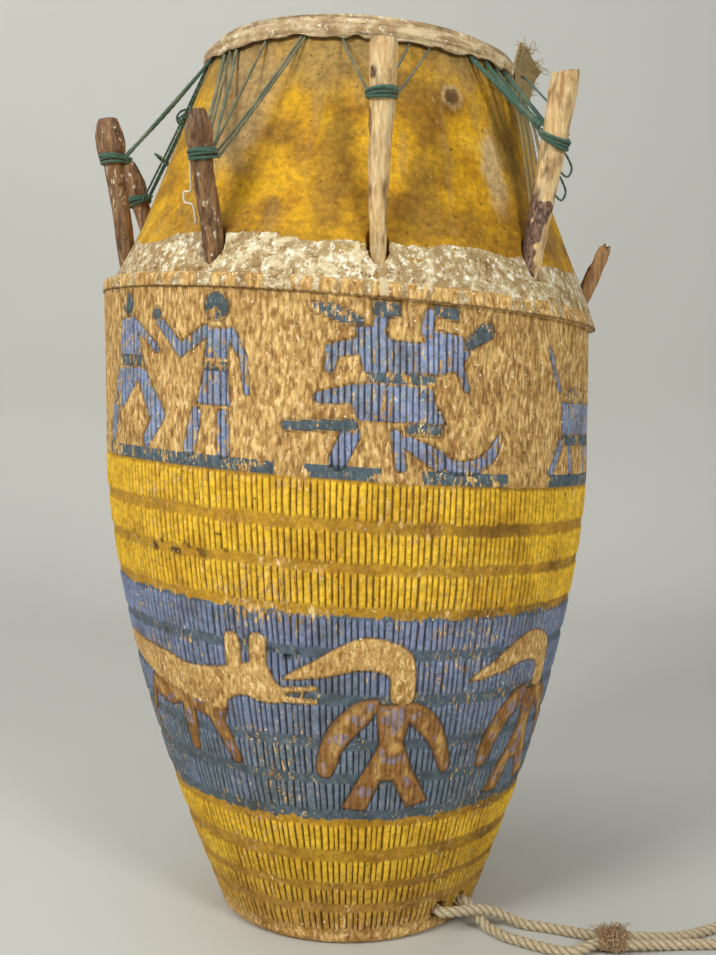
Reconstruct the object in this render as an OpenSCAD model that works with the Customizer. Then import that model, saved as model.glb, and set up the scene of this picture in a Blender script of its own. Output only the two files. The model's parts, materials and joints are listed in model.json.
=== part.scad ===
// Barrel-shaped peg drum: a carved log shell, a laced skin head, nine tuning pegs
// with their cords, and a carrying rope through the foot. Millimetres, +Z up.
// The origin is the centre of the flat foot, on the axis of the belly.
// An azimuth is counted from -Y (the front) towards +X.

/* [Shell] */
// Radius of the belly at its widest
belly_r = 185; // [184:0.5:188]
// Radius the belly curve reaches at the foot
foot_r = 99; // [97:0.5:101]
// Height at which the belly is widest
belly_h = 350; // [345:1:355]
// How quickly the belly tapers towards the foot
belly_power = 1.66; // [1.6:0.01:1.72]
// Rounding of the foot's edge
foot_round = 10; // [6:1:12]
// Height of the lip's lower edge, on the axis
lip_h = 459; // [456:1:462]
// Lean of the lip, the neck and the head towards +X, in degrees
lean = 4.3; // [3.5:0.1:4.6]
// Wall thickness of the belly
wall = 24; // [22:1:26]
// Thickness of the solid wood left at the foot
floor_t = 40; // [38:1:44]

/* [Neck] */
// How far the lip stands out from the belly
lip_proud = 1.8; // [1.5:0.1:2.5]
// Radius of the neck's cone, carried down to the lip's lower edge
neck_r = 177.5; // [177:0.1:178]
// Height of the neck, from the lip's lower edge to the rim
neck_h = 192; // [191:0.5:194]
// Radius of the rim
rim_r = 113; // [112.5:0.1:113.5]
// Wall thickness of the rim
rim_wall = 16; // [14:0.5:17]
// Radius of the skirt at the neck's foot, carried down to the lip's lower edge
skirt_r = 187; // [186:0.2:187.4]
// How much the skirt's radius shrinks per millimetre of height
skirt_slope = 0.46; // [0.44:0.01:0.5]
// How far the skirt sits off the neck's axis, towards +X
skirt_off = 3.5; // [2.5:0.1:3.8]

/* [Head] */
// Thickness of the skin
skin_t = 1.6; // [1.4:0.1:1.8]
// Height of the middle of the hoop above the lip's lower edge
hoop_h = 180; // [179:0.5:181]
// Half the thickness of the hoop
hoop_t = 2; // [1.8:0.1:2.1]

/* [Pegs] */
// Radius of the circle on which the pegs meet the neck
peg_ring_r = 170; // [169:0.5:171]
// Height of that circle above the lip's lower edge
peg_ring_h = 22; // [21:0.5:23]
// Length of each peg's shank inside the shell
shank_l = 66; // [60:1:68]
// Radial running clearance of a shank in its bore
peg_gap = 0.05; // [0.03:0.01:0.08]
// Radius of one cord
cord_r = 1.5; // [1.3:0.1:1.6]

/* [Carrying rope] */
// Half the thickness of the rope
rope_r = 4.5; // [4.2:0.1:4.6]
// Height of the two rope holes in the foot
rope_h = 19; // [18.5:0.5:20]
// Radius of the rope holes
rope_hole_r = 6.5; // [6:0.1:6.8]

/* [Hidden] */
$fn = 96;
// The pegs that carry a cord: the fifth is a broken stub and has lost its own.
laced = [1, 2, 3, 4, 6, 7, 8, 9];

// Pegs 1 to 9, one row each: azimuth, outward slant, length above the neck, radius of
// the shank, radius of the top, how far up that length the cord is wound, sideways
// slant, and how far outside the circle of pegs it stands.
pegs = [
    [-73.5, 11.5, 104, 6.5, 10.2, 0.72,  0, 0],
    [-30.8, 16.0,  92, 7.0,  8.8, 0.70, -1, 0],
    [  6.5,  7.5, 136, 5.5,  8.6, 0.76, -4, 0],
    [ 45.8,  7.0, 140, 6.5,  8.8, 0.69,  0, 0],
    [ 91.0, 18.0,  50, 5.5,  6.0, 0.00,  0, 11],
    [135.0,  9.0, 112, 6.5,  8.8, 0.70,  2, 0],
    [174.0, 12.0,  98, 6.5,  8.4, 0.70, -3, 0],
    [213.0, 10.0, 122, 6.0,  8.8, 0.72,  0, 0],
    [246.5, 20.0, 100, 6.5,  9.2, 0.68,  8, 0]];
// Azimuths, counted from its peg, at which a peg's strands reach the hoop
fan = [-10, -4.5, 3.5, 9.5];

mouth_extra = 2.6;      // a bore's mouth is this much wider than its shank
mouth_depth = 20;       // and this deep
bore_below = 120;       // the bore's drill runs this far below the neck's surface
nose_l = 10;            // tapered nose of a shank
bore_ledge_r = 144;     // radius of the hollow inside the ring of pegs
lip_t = 10;             // height of the lip
slope = (neck_r - rim_r) / neck_h;
turns = [-1, 0, 1];     // three turns of cord to a peg
cord_gap = 0.12;        // room between a peg and its cord
steps = 18;             // points along the belly's curve

function belly(z) = z >= belly_h ? belly_r
    : belly_r - (belly_r - foot_r) * pow((belly_h - z) / belly_h, belly_power);
function neck(h) = neck_r - slope * h;

// Turns a point about the Z axis
function turned(p, a) = [p[0] * cos(a) - p[1] * sin(a), p[0] * sin(a) + p[1] * cos(a), p[2]];
// Radius of the circle on which peg i's foot stands
function foot_at(i) = peg_ring_r + pegs[i - 1][7];
// A point given in peg i's own frame, in the frame of the neck
function peg_point(i, p) = let (s = pegs[i - 1][1], t = pegs[i - 1][6],
                                y = p[1] * cos(s) - p[2] * sin(s),
                                z = p[1] * sin(s) + p[2] * cos(s))
    turned([p[0] * cos(t) + z * sin(t), y - foot_at(i), z * cos(t) - p[0] * sin(t) + peg_ring_h],
           pegs[i - 1][0]);
// Radius of peg i at height z above the neck
function peg_r(i, z) = let (p = pegs[i - 1]) p[3] + (p[4] - p[3]) * max(0, z - 4) / (p[2] - 4);
function wrap_h(i) = pegs[i - 1][2] * pegs[i - 1][5];
function wrap_r(i) = peg_r(i, wrap_h(i) + 2 * cord_r) + cord_gap + cord_r;

// The frame of the neck: at the lip's lower edge, leaning towards +X
module leaning() {
    translate([0, 0, lip_h]) rotate([0, lean, 0]) children();
}

// The frame of peg i: +Z along the peg and out of its bore
module at_peg(i) {
    leaning() rotate([0, 0, pegs[i - 1][0]]) translate([0, -foot_at(i), peg_ring_h])
        rotate([pegs[i - 1][1], pegs[i - 1][6], 0]) children();
}

module rod(a, b, r) {
    d = b - a;
    translate(a) rotate([0, acos(d[2] / norm(d)), atan2(d[1], d[0])]) cylinder(h = norm(d), r = r);
}

// A rope through a list of points, faceted, each length a hull of two balls
module line(points, r) {
    facets = 12;
    for (k = [0 : len(points) - 2]) hull() {
        translate(points[k]) sphere(r = r, $fn = facets);
        translate(points[k + 1]) sphere(r = r, $fn = facets);
    }
}

// ---------------------------------------------------------------- shell

module belly_solid() {
    top_z = lip_h + 40;
    round_z = foot_round;
    rotate_extrude() polygon(concat(
        [[0, 0]],
        [for (a = [0 : 15 : 90]) [belly(round_z) - foot_round + foot_round * sin(a),
                                  foot_round - foot_round * cos(a)]],
        [for (k = [1 : steps]) let (z = round_z + (belly_h - round_z) * k / steps) [belly(z), z]],
        [[belly_r, top_z], [0, top_z]]));
}

module neck_solid() {
    lip_r = belly_r + lip_proud;
    rotate_extrude() polygon([
        [0, 0], [lip_r, 0], [lip_r, lip_t - 3], [lip_r - 2, lip_t],
        [neck(lip_t + 2) + 1, lip_t + 2], [neck(lip_t + 3), lip_t + 3],
        [neck(neck_h - 3), neck_h - 3], [rim_r - 3, neck_h], [0, neck_h]]);
}

// The skirt spreads the neck's foot out to the lip, further on one side.
module skirt_solid() {
    skirt_h = 96;
    translate([skirt_off, 0, lip_t])
        cylinder(h = skirt_h, r1 = skirt_r - skirt_slope * lip_t,
                 r2 = skirt_r - skirt_slope * (lip_t + skirt_h));
}

module belly_hollow() {
    corner = 20;
    ledge_z = lip_h - 19;
    rotate_extrude() polygon(concat(
        [[0, floor_t], [belly(floor_t) - wall - corner, floor_t],
         [belly(floor_t + corner) - wall, floor_t + corner]],
        [for (k = [3 : steps - 1]) let (z = belly_h * k / (steps - 1)) [belly(z) - wall, z]],
        [[belly_r - wall, belly_h + 20], [bore_ledge_r + 9, ledge_z], [0, ledge_z]]));
}

module neck_hollow() {
    rotate_extrude() polygon([
        [0, -40], [bore_ledge_r, -40], [bore_ledge_r, 30],
        [rim_r - rim_wall, neck_h - 4], [rim_r - rim_wall + 4, neck_h + 1], [0, neck_h + 1]]);
}

module peg_bore(i) {
    r = pegs[i - 1][3];
    at_peg(i) {
        translate([0, 0, -bore_below]) cylinder(h = bore_below + 40, r = r + peg_gap);
        translate([0, 0, -mouth_depth]) cylinder(h = mouth_depth + 60, r = r + mouth_extra);
    }
}

// The two rope holes run into one curved tunnel inside the solid foot.
rope_az = 45.5;
tunnel_r = 12;
tunnel_at = 105.3;
// The middle of the free rope's end at one hole: side is -1 or 1
function rope_mouth(side) = turned([side * tunnel_r, -mouth_r, rope_h], rope_az);
module at_tunnel() {
    rotate([0, 0, rope_az]) translate([0, -tunnel_at, rope_h]) children();
}

module shell() {
    color("goldenrod") difference() {
        union() {
            difference() {
                belly_solid();
                leaning() translate([-300, -300, 2]) cube([600, 600, 200]);
            }
            leaning() neck_solid();
            leaning() skirt_solid();
        }
        belly_hollow();
        leaning() neck_hollow();
        for (i = [1 : 9]) peg_bore(i);
        at_tunnel() rotate_extrude() translate([tunnel_r, 0]) circle(r = rope_hole_r);
    }
}

// ---------------------------------------------------------------- head

hoop_r = neck(hoop_h) + (hoop_t + 0.3) / cos(atan(slope));
lap_h = hoop_h - 5.5;           // lower edge of the skin's lap
skin_gap = 0.4;
skin_top = neck_h + 0.2 + skin_t;

module drumhead() {
    color("burlywood") leaning() difference() {
        rotate_extrude() polygon([
            [0, skin_top], [rim_r - 4, skin_top], [rim_r + 0.8, skin_top - 1.4],
            [rim_r + 3.2, neck_h - 3], [hoop_r + hoop_t + 1.2, hoop_h + 3],
            [hoop_r + hoop_t + 1.5, hoop_h], [hoop_r + hoop_t + 0.8, lap_h], [0, lap_h]]);
        rotate_extrude() polygon([
            [0, lap_h - 1], [neck(lap_h - 1) + skin_gap, lap_h - 1],
            [neck(neck_h - 3) + skin_gap, neck_h - 3], [rim_r - 2.8, neck_h + 0.2],
            [0, neck_h + 0.2]]);
        translate([0, 0, hoop_h]) rotate_extrude() translate([hoop_r, 0]) circle(r = hoop_t + 0.15);
    }
}

module hoop() {
    color("sienna") leaning() translate([0, 0, hoop_h])
        rotate_extrude() translate([hoop_r, 0]) circle(r = hoop_t);
}

// A scrap of sacking folded over the lap at one side, standing up beyond the rim
module burlap_shim() {
    shim_az = 58;
    shim_angle = 28;
    shim_t = 1.4;
    edge_r = hoop_r + hoop_t + 2.4;
    color("darkkhaki") leaning() rotate([0, 0, shim_az - 90]) rotate_extrude(angle = shim_angle)
        polygon([
            [edge_r, hoop_h - 12], [edge_r + 0.6, hoop_h], [edge_r + 5, hoop_h + 17],
            [edge_r + 5 + shim_t, hoop_h + 17], [edge_r + 0.6 + shim_t, hoop_h],
            [edge_r + shim_t, hoop_h - 12]]);
}

// ---------------------------------------------------------------- pegs and cords

module peg(i) {
    p = pegs[i - 1];
    top_l = 6;
    at_peg(i) {
        translate([0, 0, -shank_l]) cylinder(h = nose_l, r1 = p[3] - 1.5, r2 = p[3]);
        translate([0, 0, nose_l - shank_l]) cylinder(h = shank_l - nose_l + 4, r = p[3]);
        translate([0, 0, 4]) cylinder(h = p[2] - 4 - top_l, r1 = p[3], r2 = peg_r(i, p[2] - top_l));
        translate([0, 0, p[2] - top_l])
            cylinder(h = top_l, r1 = peg_r(i, p[2] - top_l), r2 = p[4] * 0.72);
    }
}

module cord_wrap(i) {
    at_peg(i) for (t = turns)
        translate([0, 0, wrap_h(i) + t * (2 * cord_r + 0.1)])
            rotate_extrude() translate([wrap_r(i), 0]) circle(r = cord_r);
}

// The strands run from just clear of the turns to the lap, where they meet the hoop.
module cord_strands(i) {
    lap_r = neck(lap_h - 3) + 2.6;
    start_r = wrap_r(i) + 2 * cord_r + 0.8;
    leaning() for (k = [0 : len(fan) - 1])
        rod(peg_point(i, [(k - 1.5) * 3.4, start_r, wrap_h(i)]),
            turned([0, -lap_r, lap_h - 3], pegs[i - 1][0] + fan[k]), cord_r);
}

// ---------------------------------------------------------------- carrying rope

knot_z = 7.2;
ground_z = rope_r + 0.5;
knot_x = 191;
mouth_r = 111.5;        // where the free rope begins, just outside the foot

module rope_anchor() {
    color("tan") at_tunnel() rotate_extrude(angle = 180) translate([tunnel_r, 0]) circle(r = rope_r);
}

// The free rope is one loop: out of the first hole, along the floor, and back.
module tie_rope() {
    color("tan") line([
        rope_mouth(-1), [104, -76, 15.5], [132, -75, ground_z], [164, -87, ground_z],
        [180, -98.5, knot_z], [202, -101.2, knot_z], [242, -95, ground_z], [285, -76, ground_z],
        [318, -74, ground_z], [330, -88, ground_z], [312, -103, ground_z], [239, -107, ground_z],
        [202, -113.4, knot_z], [180, -110.8, knot_z], [156, -118, ground_z],
        [120, -98, ground_z], [104, -80, ground_z], rope_mouth(1)], rope_r);
}

// Fibre bound round both strands
module whipping() {
    length = 18;
    half = 4.8;
    heading = -7;
    color("peru") translate([knot_x, -106, knot_z]) rotate([0, 0, heading]) rotate([0, 90, 0])
        translate([0, 0, -length / 2]) linear_extrude(height = length) difference() {
            bound(half, rope_r + 2.6);
            bound(half + 0.6, rope_r + 0.8);
        }
}

// Two discs side by side and the square between them
module bound(half, r) {
    for (side = [-half, half]) translate([0, side]) circle(r = r);
    square([2 * r, 2 * half], center = true);
}

shell();
drumhead();
hoop();
burlap_shim();
rope_anchor();
tie_rope();
whipping();
for (i = [1 : 9]) color("saddlebrown") peg(i);
for (i = laced) color("seagreen") cord_wrap(i);
for (i = laced) color("seagreen") cord_strands(i);
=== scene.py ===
import json
import math

import bpy
import numpy as np
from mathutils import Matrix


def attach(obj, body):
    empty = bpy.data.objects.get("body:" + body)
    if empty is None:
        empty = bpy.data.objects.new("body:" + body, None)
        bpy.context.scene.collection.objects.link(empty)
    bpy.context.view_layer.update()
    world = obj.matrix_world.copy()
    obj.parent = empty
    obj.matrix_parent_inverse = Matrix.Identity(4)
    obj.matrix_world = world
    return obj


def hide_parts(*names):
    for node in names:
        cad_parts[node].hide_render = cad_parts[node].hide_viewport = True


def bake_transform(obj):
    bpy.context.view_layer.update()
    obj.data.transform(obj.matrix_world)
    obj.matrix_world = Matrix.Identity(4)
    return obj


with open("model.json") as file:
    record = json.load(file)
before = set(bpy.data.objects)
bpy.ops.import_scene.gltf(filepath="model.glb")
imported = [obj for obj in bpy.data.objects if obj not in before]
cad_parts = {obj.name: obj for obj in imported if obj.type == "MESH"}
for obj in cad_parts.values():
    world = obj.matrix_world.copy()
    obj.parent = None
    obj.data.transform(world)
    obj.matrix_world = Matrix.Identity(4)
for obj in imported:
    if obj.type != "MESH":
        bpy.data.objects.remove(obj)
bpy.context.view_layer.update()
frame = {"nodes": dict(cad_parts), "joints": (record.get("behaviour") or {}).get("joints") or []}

# ---------------------------------------------------------------- sizes, in millimetres
# The shell's curve, as the CAD shell has it. A carving height is a height on the drum's axis:
# the carved rings tilt with the lip, so a ring's real height also depends on its azimuth.
# An azimuth is counted in degrees from -Y (the front) towards +X.

MM = 0.001
BELLY_R, FOOT_R, BELLY_H, BELLY_POWER = 185.0, 99.0, 350.0, 1.66
FOOT_ROUND = 10.0
LIP_H, LIP_T, LIP_PROUD = 459.0, 10.0, 1.8
LEAN = math.radians(4.3)
NECK_R, NECK_H, RIM_R = 177.5, 192.0, 113.0
SLOPE = (NECK_R - RIM_R) / NECK_H
SKIRT_R, SKIRT_SLOPE, SKIRT_OFF = 187.0, 0.46, 3.5
RIM_WALL, LEDGE_R, WALL, FLOOR_T = 16.0, 144.0, 24.0, 40.0
SHANK_L = 66.0
ROPE_R = 3.9
LACED = [1, 2, 3, 4, 6, 7, 8, 9]

COLUMNS = 2000          # columns of the shell's mesh
ROW_STEP = 1.3          # spacing of its rows on the belly


def belly_radius(z):
    below = np.clip(BELLY_H - np.asarray(z, float), 0, None) / BELLY_H
    return BELLY_R - (BELLY_R - FOOT_R) * below ** BELLY_POWER


def neck_radius(h, azimuth=None):
    """The neck's cone, or where its skirt stands outside the cone if an azimuth is given."""
    cone = NECK_R - SLOPE * h
    if azimuth is None:
        return cone
    return np.maximum(cone, SKIRT_R - SKIRT_SLOPE * h + SKIRT_OFF * np.sin(np.radians(azimuth)))


def ring_tilt(w):
    """How far a carved ring drops per millimetre of X, at carving height w."""
    return np.interp(w, [0, 103, 255, LIP_H], [0, 0.022, 0.066, math.tan(LEAN)])


def leaning(p):
    """Points in the leaning frame of lip, neck and head, taken to the drum's upright frame."""
    p = np.asarray(p, float)
    x = p[..., 0] * math.cos(LEAN) + p[..., 2] * math.sin(LEAN)
    z = -p[..., 0] * math.sin(LEAN) + p[..., 2] * math.cos(LEAN) + LIP_H
    return np.stack([x, p[..., 1], z], -1)


def around(azimuth, r, z):
    """A point at an azimuth in degrees, at radius r and height z."""
    a = np.radians(azimuth)
    return np.stack(np.broadcast_arrays(r * np.sin(a), -r * np.cos(a), z), -1)


def on_neck(azimuth, h, proud):
    """A point in the upright frame that stands proud of the neck's cone."""
    return leaning(around(azimuth, neck_radius(h) + proud, h))


def unit(v):
    v = np.asarray(v, float)
    return v / np.linalg.norm(v, axis=-1, keepdims=True)


def degrees_from(azimuth, middle):
    """How far round each azimuth lies from a middle one, from -180 to 180."""
    return np.mod(azimuth - middle + 180, 360) - 180


def full_turn(count):
    """Angles in radians, evenly spread round a circle."""
    return np.arange(count) * 2 * math.pi / count


# ---------------------------------------------------------------- noise and small functions

def smooth(low, high, x):
    t = np.clip((x - low) / (high - low), 0, 1)
    return t * t * (3 - 2 * t)


def noise(u, v, cells_u, cells_v, seed):
    """Smooth noise from -1 to 1 over u and v in 0..1. It repeats in u."""
    grid = np.random.default_rng(seed).uniform(-1, 1, (cells_v + 2, cells_u))
    x = np.mod(u, 1.0) * cells_u
    y = np.clip(v, 0, 1) * cells_v
    i, j = np.floor(x).astype(int), np.floor(y).astype(int)
    fx, fy = x - i, y - j
    fx, fy = fx * fx * (3 - 2 * fx), fy * fy * (3 - 2 * fy)
    i0, i1 = i % cells_u, (i + 1) % cells_u
    low = grid[j, i0] * (1 - fx) + grid[j, i1] * fx
    high = grid[j + 1, i0] * (1 - fx) + grid[j + 1, i1] * fx
    return low * (1 - fy) + high * fy


def fractal(u, v, cells_u, cells_v, seed, octaves=3):
    """Layers of noise, each twice as fine as the last and fainter."""
    total, weight = 0.0, 0.0
    for k in range(octaves):
        gain = 0.55 ** k
        total = total + gain * noise(u, v, cells_u * 2 ** k, cells_v * 2 ** k, seed + k)
        weight += gain
    return total / weight


def srgb(r, g, b):
    """A colour given as 0..255 on screen, in the linear values that Blender works in."""
    c = np.array([r, g, b]) / 255
    return np.where(c <= 0.04045, c / 12.92, ((c + 0.055) / 1.055) ** 2.4)


def blend_colour(a, b, t):
    """From colour a where t is 0 to colour b where t is 1."""
    return a + (b - a) * np.asarray(t)[..., None]


# ---------------------------------------------------------------- meshes

def mesh_object(name, points, faces, uv=None, attributes=None):
    """A smooth mesh from points in millimetres and an (n, 4) or (n, 3) array, or a list of such arrays."""
    groups = faces if isinstance(faces, list) else [faces]
    mesh = bpy.data.meshes.new(name)
    points = np.asarray(points, np.float32) * MM
    mesh.vertices.add(len(points))
    mesh.vertices.foreach_set("co", points.ravel())
    loops = np.concatenate([g.ravel() for g in groups]).astype(np.int32)
    sizes = np.concatenate([np.full(len(g), g.shape[1]) for g in groups]).astype(np.int32)
    starts = np.concatenate([[0], np.cumsum(sizes)[:-1]]).astype(np.int32)
    mesh.loops.add(len(loops))
    mesh.loops.foreach_set("vertex_index", loops)
    mesh.polygons.add(len(sizes))
    mesh.polygons.foreach_set("loop_start", starts)
    mesh.polygons.foreach_set("loop_total", sizes)
    mesh.polygons.foreach_set("use_smooth", np.full(len(sizes), True))
    if uv is not None:
        layer = mesh.uv_layers.new(name="OFBake")
        layer.data.foreach_set("uv", uv.astype(np.float32).ravel())
    for key, value in (attributes or {}).items():
        value = np.asarray(value, np.float32)
        if value.ndim == 2:
            layer = mesh.attributes.new(key, "FLOAT_COLOR", "POINT")
            rgba = np.concatenate([value, np.ones((len(value), 1), np.float32)], 1)
            layer.data.foreach_set("color", rgba.ravel())
        else:
            layer = mesh.attributes.new(key, "FLOAT", "POINT")
            layer.data.foreach_set("value", value)
    mesh.update()
    mesh.validate()
    obj = bpy.data.objects.new(name, mesh)
    bpy.context.scene.collection.objects.link(obj)
    return obj


def grid_faces(rows, columns):
    """Quads of a grid whose columns go round, facing outwards when rows go up."""
    r, c = np.meshgrid(np.arange(rows - 1), np.arange(columns), indexing="ij")
    n = (c + 1) % columns
    low, high = r * columns, (r + 1) * columns
    return np.stack([low + c, low + n, high + n, high + c], -1).reshape(-1, 4)


def cap_faces(ring_start, columns, centre, upwards):
    """A fan of triangles from one ring of a grid to a centre point."""
    c = np.arange(columns)
    n = (c + 1) % columns
    order = [ring_start + c, ring_start + n] if upwards else [ring_start + n, ring_start + c]
    return np.stack(order + [np.full(columns, centre)], -1)


def closed_faces(rows, columns):
    """A grid's quads and the two fans that close it; the fans' centres are the two points after it."""
    count = rows * columns
    return [grid_faces(rows, columns), np.concatenate([
        cap_faces(0, columns, count, False), cap_faces(count - columns, columns, count + 1, True)])]


def normals_along(path):
    """Two unit normals at each point of a path, with as little twist as possible."""
    tangent = unit(np.gradient(path, axis=0))
    side = np.cross(tangent[0], [0.0, 0.0, 1.0])
    if np.linalg.norm(side) < 0.1:
        side = np.cross(tangent[0], [0.0, 1.0, 0.0])
    sides = [unit(side)]
    for t in tangent[1:]:
        s = sides[-1] - t * np.dot(sides[-1], t)
        sides.append(unit(s))
    sides = np.array(sides)
    return sides, np.cross(tangent, sides)


def steps_between(a, b, step):
    return max(2, int(round(np.linalg.norm(b - a) / step)))


def spline(points, step):
    """A smooth path through points, sampled about every step millimetres."""
    p = np.asarray(points, float)
    p = np.concatenate([[2 * p[0] - p[1]], p, [2 * p[-1] - p[-2]]])
    out = []
    for k in range(1, len(p) - 2):
        a, b, c, d = p[k - 1:k + 3]
        count = steps_between(b, c, step)
        t = np.arange(count)[:, None] / count
        out.append(0.5 * (2 * b + (c - a) * t + (2 * a - 5 * b + 4 * c - d) * t ** 2
                          + (3 * b - a - 3 * c + d) * t ** 3))
    return np.concatenate(out + [p[-2:-1]])


def tube(path, radius, sides, lobes=0, twist=0.0, lobe_depth=0.0, roughen=0.0, seed=0):
    """Points and faces of a closed tube. Lobes that turn as they go make it a laid cord."""
    path = np.asarray(path, float)
    length = np.concatenate([[0], np.cumsum(np.linalg.norm(np.diff(path, axis=0), axis=1))])
    s, t = normals_along(path)
    angle = full_turn(sides)
    r = np.full((len(path), sides), float(radius))
    if lobes:
        phase = lobes * (angle - length[:, None] * twist)
        r = r * (1 - lobe_depth * (1 - np.abs(np.cos(phase / 2)) ** 0.7))
    if roughen:
        r = r * (1 + roughen * np.random.default_rng(seed).uniform(-1, 1, r.shape))
    out = np.cos(angle)[:, None] * s[:, None, :] + np.sin(angle)[:, None] * t[:, None, :]
    points = path[:, None, :] + r[..., None] * out
    points = np.concatenate([points.reshape(-1, 3), path[:1], path[-1:]])
    return points, closed_faces(len(path), sides)


def join(parts):
    """Several (points, [faces]) as one."""
    points, quads, tris, shift = [], [], [], 0
    for p, groups in parts:
        points.append(p)
        for g in groups:
            (quads if g.shape[1] == 4 else tris).append(g + shift)
        shift += len(p)
    faces = [np.concatenate(x) for x in (quads, tris) if x]
    return np.concatenate(points), faces


# ---------------------------------------------------------------- node-based materials

class Graph:
    """A material's node tree, with short calls for the nodes these materials use."""

    def __init__(self, name, roughness=0.8, specular=0.25):
        self.material = bpy.data.materials.new(name)
        self.material.use_nodes = True
        self.tree = self.material.node_tree
        self.tree.nodes.clear()
        self.output = self.tree.nodes.new("ShaderNodeOutputMaterial")
        self.surface = self.tree.nodes.new("ShaderNodeBsdfPrincipled")
        self.tree.links.new(self.surface.outputs[0], self.output.inputs[0])
        self.surface.inputs["Roughness"].default_value = roughness
        self.surface.inputs["Specular IOR Level"].default_value = specular
        self.place = self.node("ShaderNodeTexCoord", {}).outputs["Object"]

    def node(self, kind, inputs, **properties):
        made = self.tree.nodes.new(kind)
        for key, value in properties.items():
            setattr(made, key, value)
        for key, value in inputs.items():
            self.put(made.inputs[key], value)
        return made

    def put(self, socket, value):
        if isinstance(value, bpy.types.NodeSocket):
            self.tree.links.new(value, socket)
        elif isinstance(value, np.ndarray):
            socket.default_value = [*value, 1.0]
        else:
            socket.default_value = value

    def stretched(self, x, y, z):
        made = self.node("ShaderNodeVectorMath", {0: self.place, 1: (x, y, z)}, operation="MULTIPLY")
        return made.outputs[0]

    def noise(self, size_mm, detail, rough, along=None):
        """Noise about 0..1 whose grains measure size_mm; along stretches it on X, Y and Z."""
        where = self.stretched(*along) if along else self.place
        return self.node("ShaderNodeTexNoise", {
            "Vector": where, "Scale": 1000.0 / size_mm, "Detail": detail, "Roughness": rough}).outputs["Fac"]

    def attribute(self, name):
        made = self.node("ShaderNodeAttribute", {}, attribute_name=name)
        return made.outputs["Color"] if name == "tint" else made.outputs["Fac"]

    def calc(self, operation, a, b):
        return self.node("ShaderNodeMath", {0: a, 1: b}, operation=operation).outputs[0]

    def times(self, a, b):
        return self.calc("MULTIPLY", a, b)

    def plus(self, a, b):
        return self.calc("ADD", a, b)

    def step(self, value, low, high, most=1.0):
        """Goes smoothly from 0 to most as value goes from low to high."""
        limits = {"Value": value, "From Min": low, "From Max": high, "To Max": most}
        return self.node("ShaderNodeMapRange", limits, interpolation_type="SMOOTHSTEP").outputs[0]

    def mix(self, amount, a, b, blend="MIX"):
        made = self.node("ShaderNodeMix", {}, data_type="RGBA", blend_type=blend)
        self.put(made.inputs[0], amount)
        self.put(made.inputs[6], a)
        self.put(made.inputs[7], b)
        return made.outputs[2]

    def between(self, value, low, high):
        """A grey that goes from low to high as value goes from 0 to 1."""
        return self.node("ShaderNodeMapRange", {"Value": value, "To Min": low, "To Max": high}).outputs[0]

    def bump(self, height, distance_mm, strength):
        made = self.node("ShaderNodeBump", {"Height": height, "Distance": distance_mm * MM,
                                            "Strength": strength})
        self.put(self.surface.inputs["Normal"], made.outputs[0])

    def finish(self, colour, roughness=None):
        self.put(self.surface.inputs["Base Color"], colour)
        if roughness is not None:
            self.put(self.surface.inputs["Roughness"], roughness)
        return self.material


TAN = srgb(206, 166, 98)
TAN_DARK = srgb(150, 108, 56)
YELLOW = srgb(255, 210, 58)
YELLOW_DULL = srgb(208, 158, 34)
YELLOW_STRIP = srgb(182, 136, 34)
BLUE = srgb(134, 146, 184)
BLUE_GREY = srgb(106, 120, 130)
SLATE = srgb(82, 98, 106)
STAIN = srgb(150, 106, 54)
OCHRE = srgb(208, 156, 10)
OCHRE_DARK = srgb(148, 106, 18)


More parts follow.
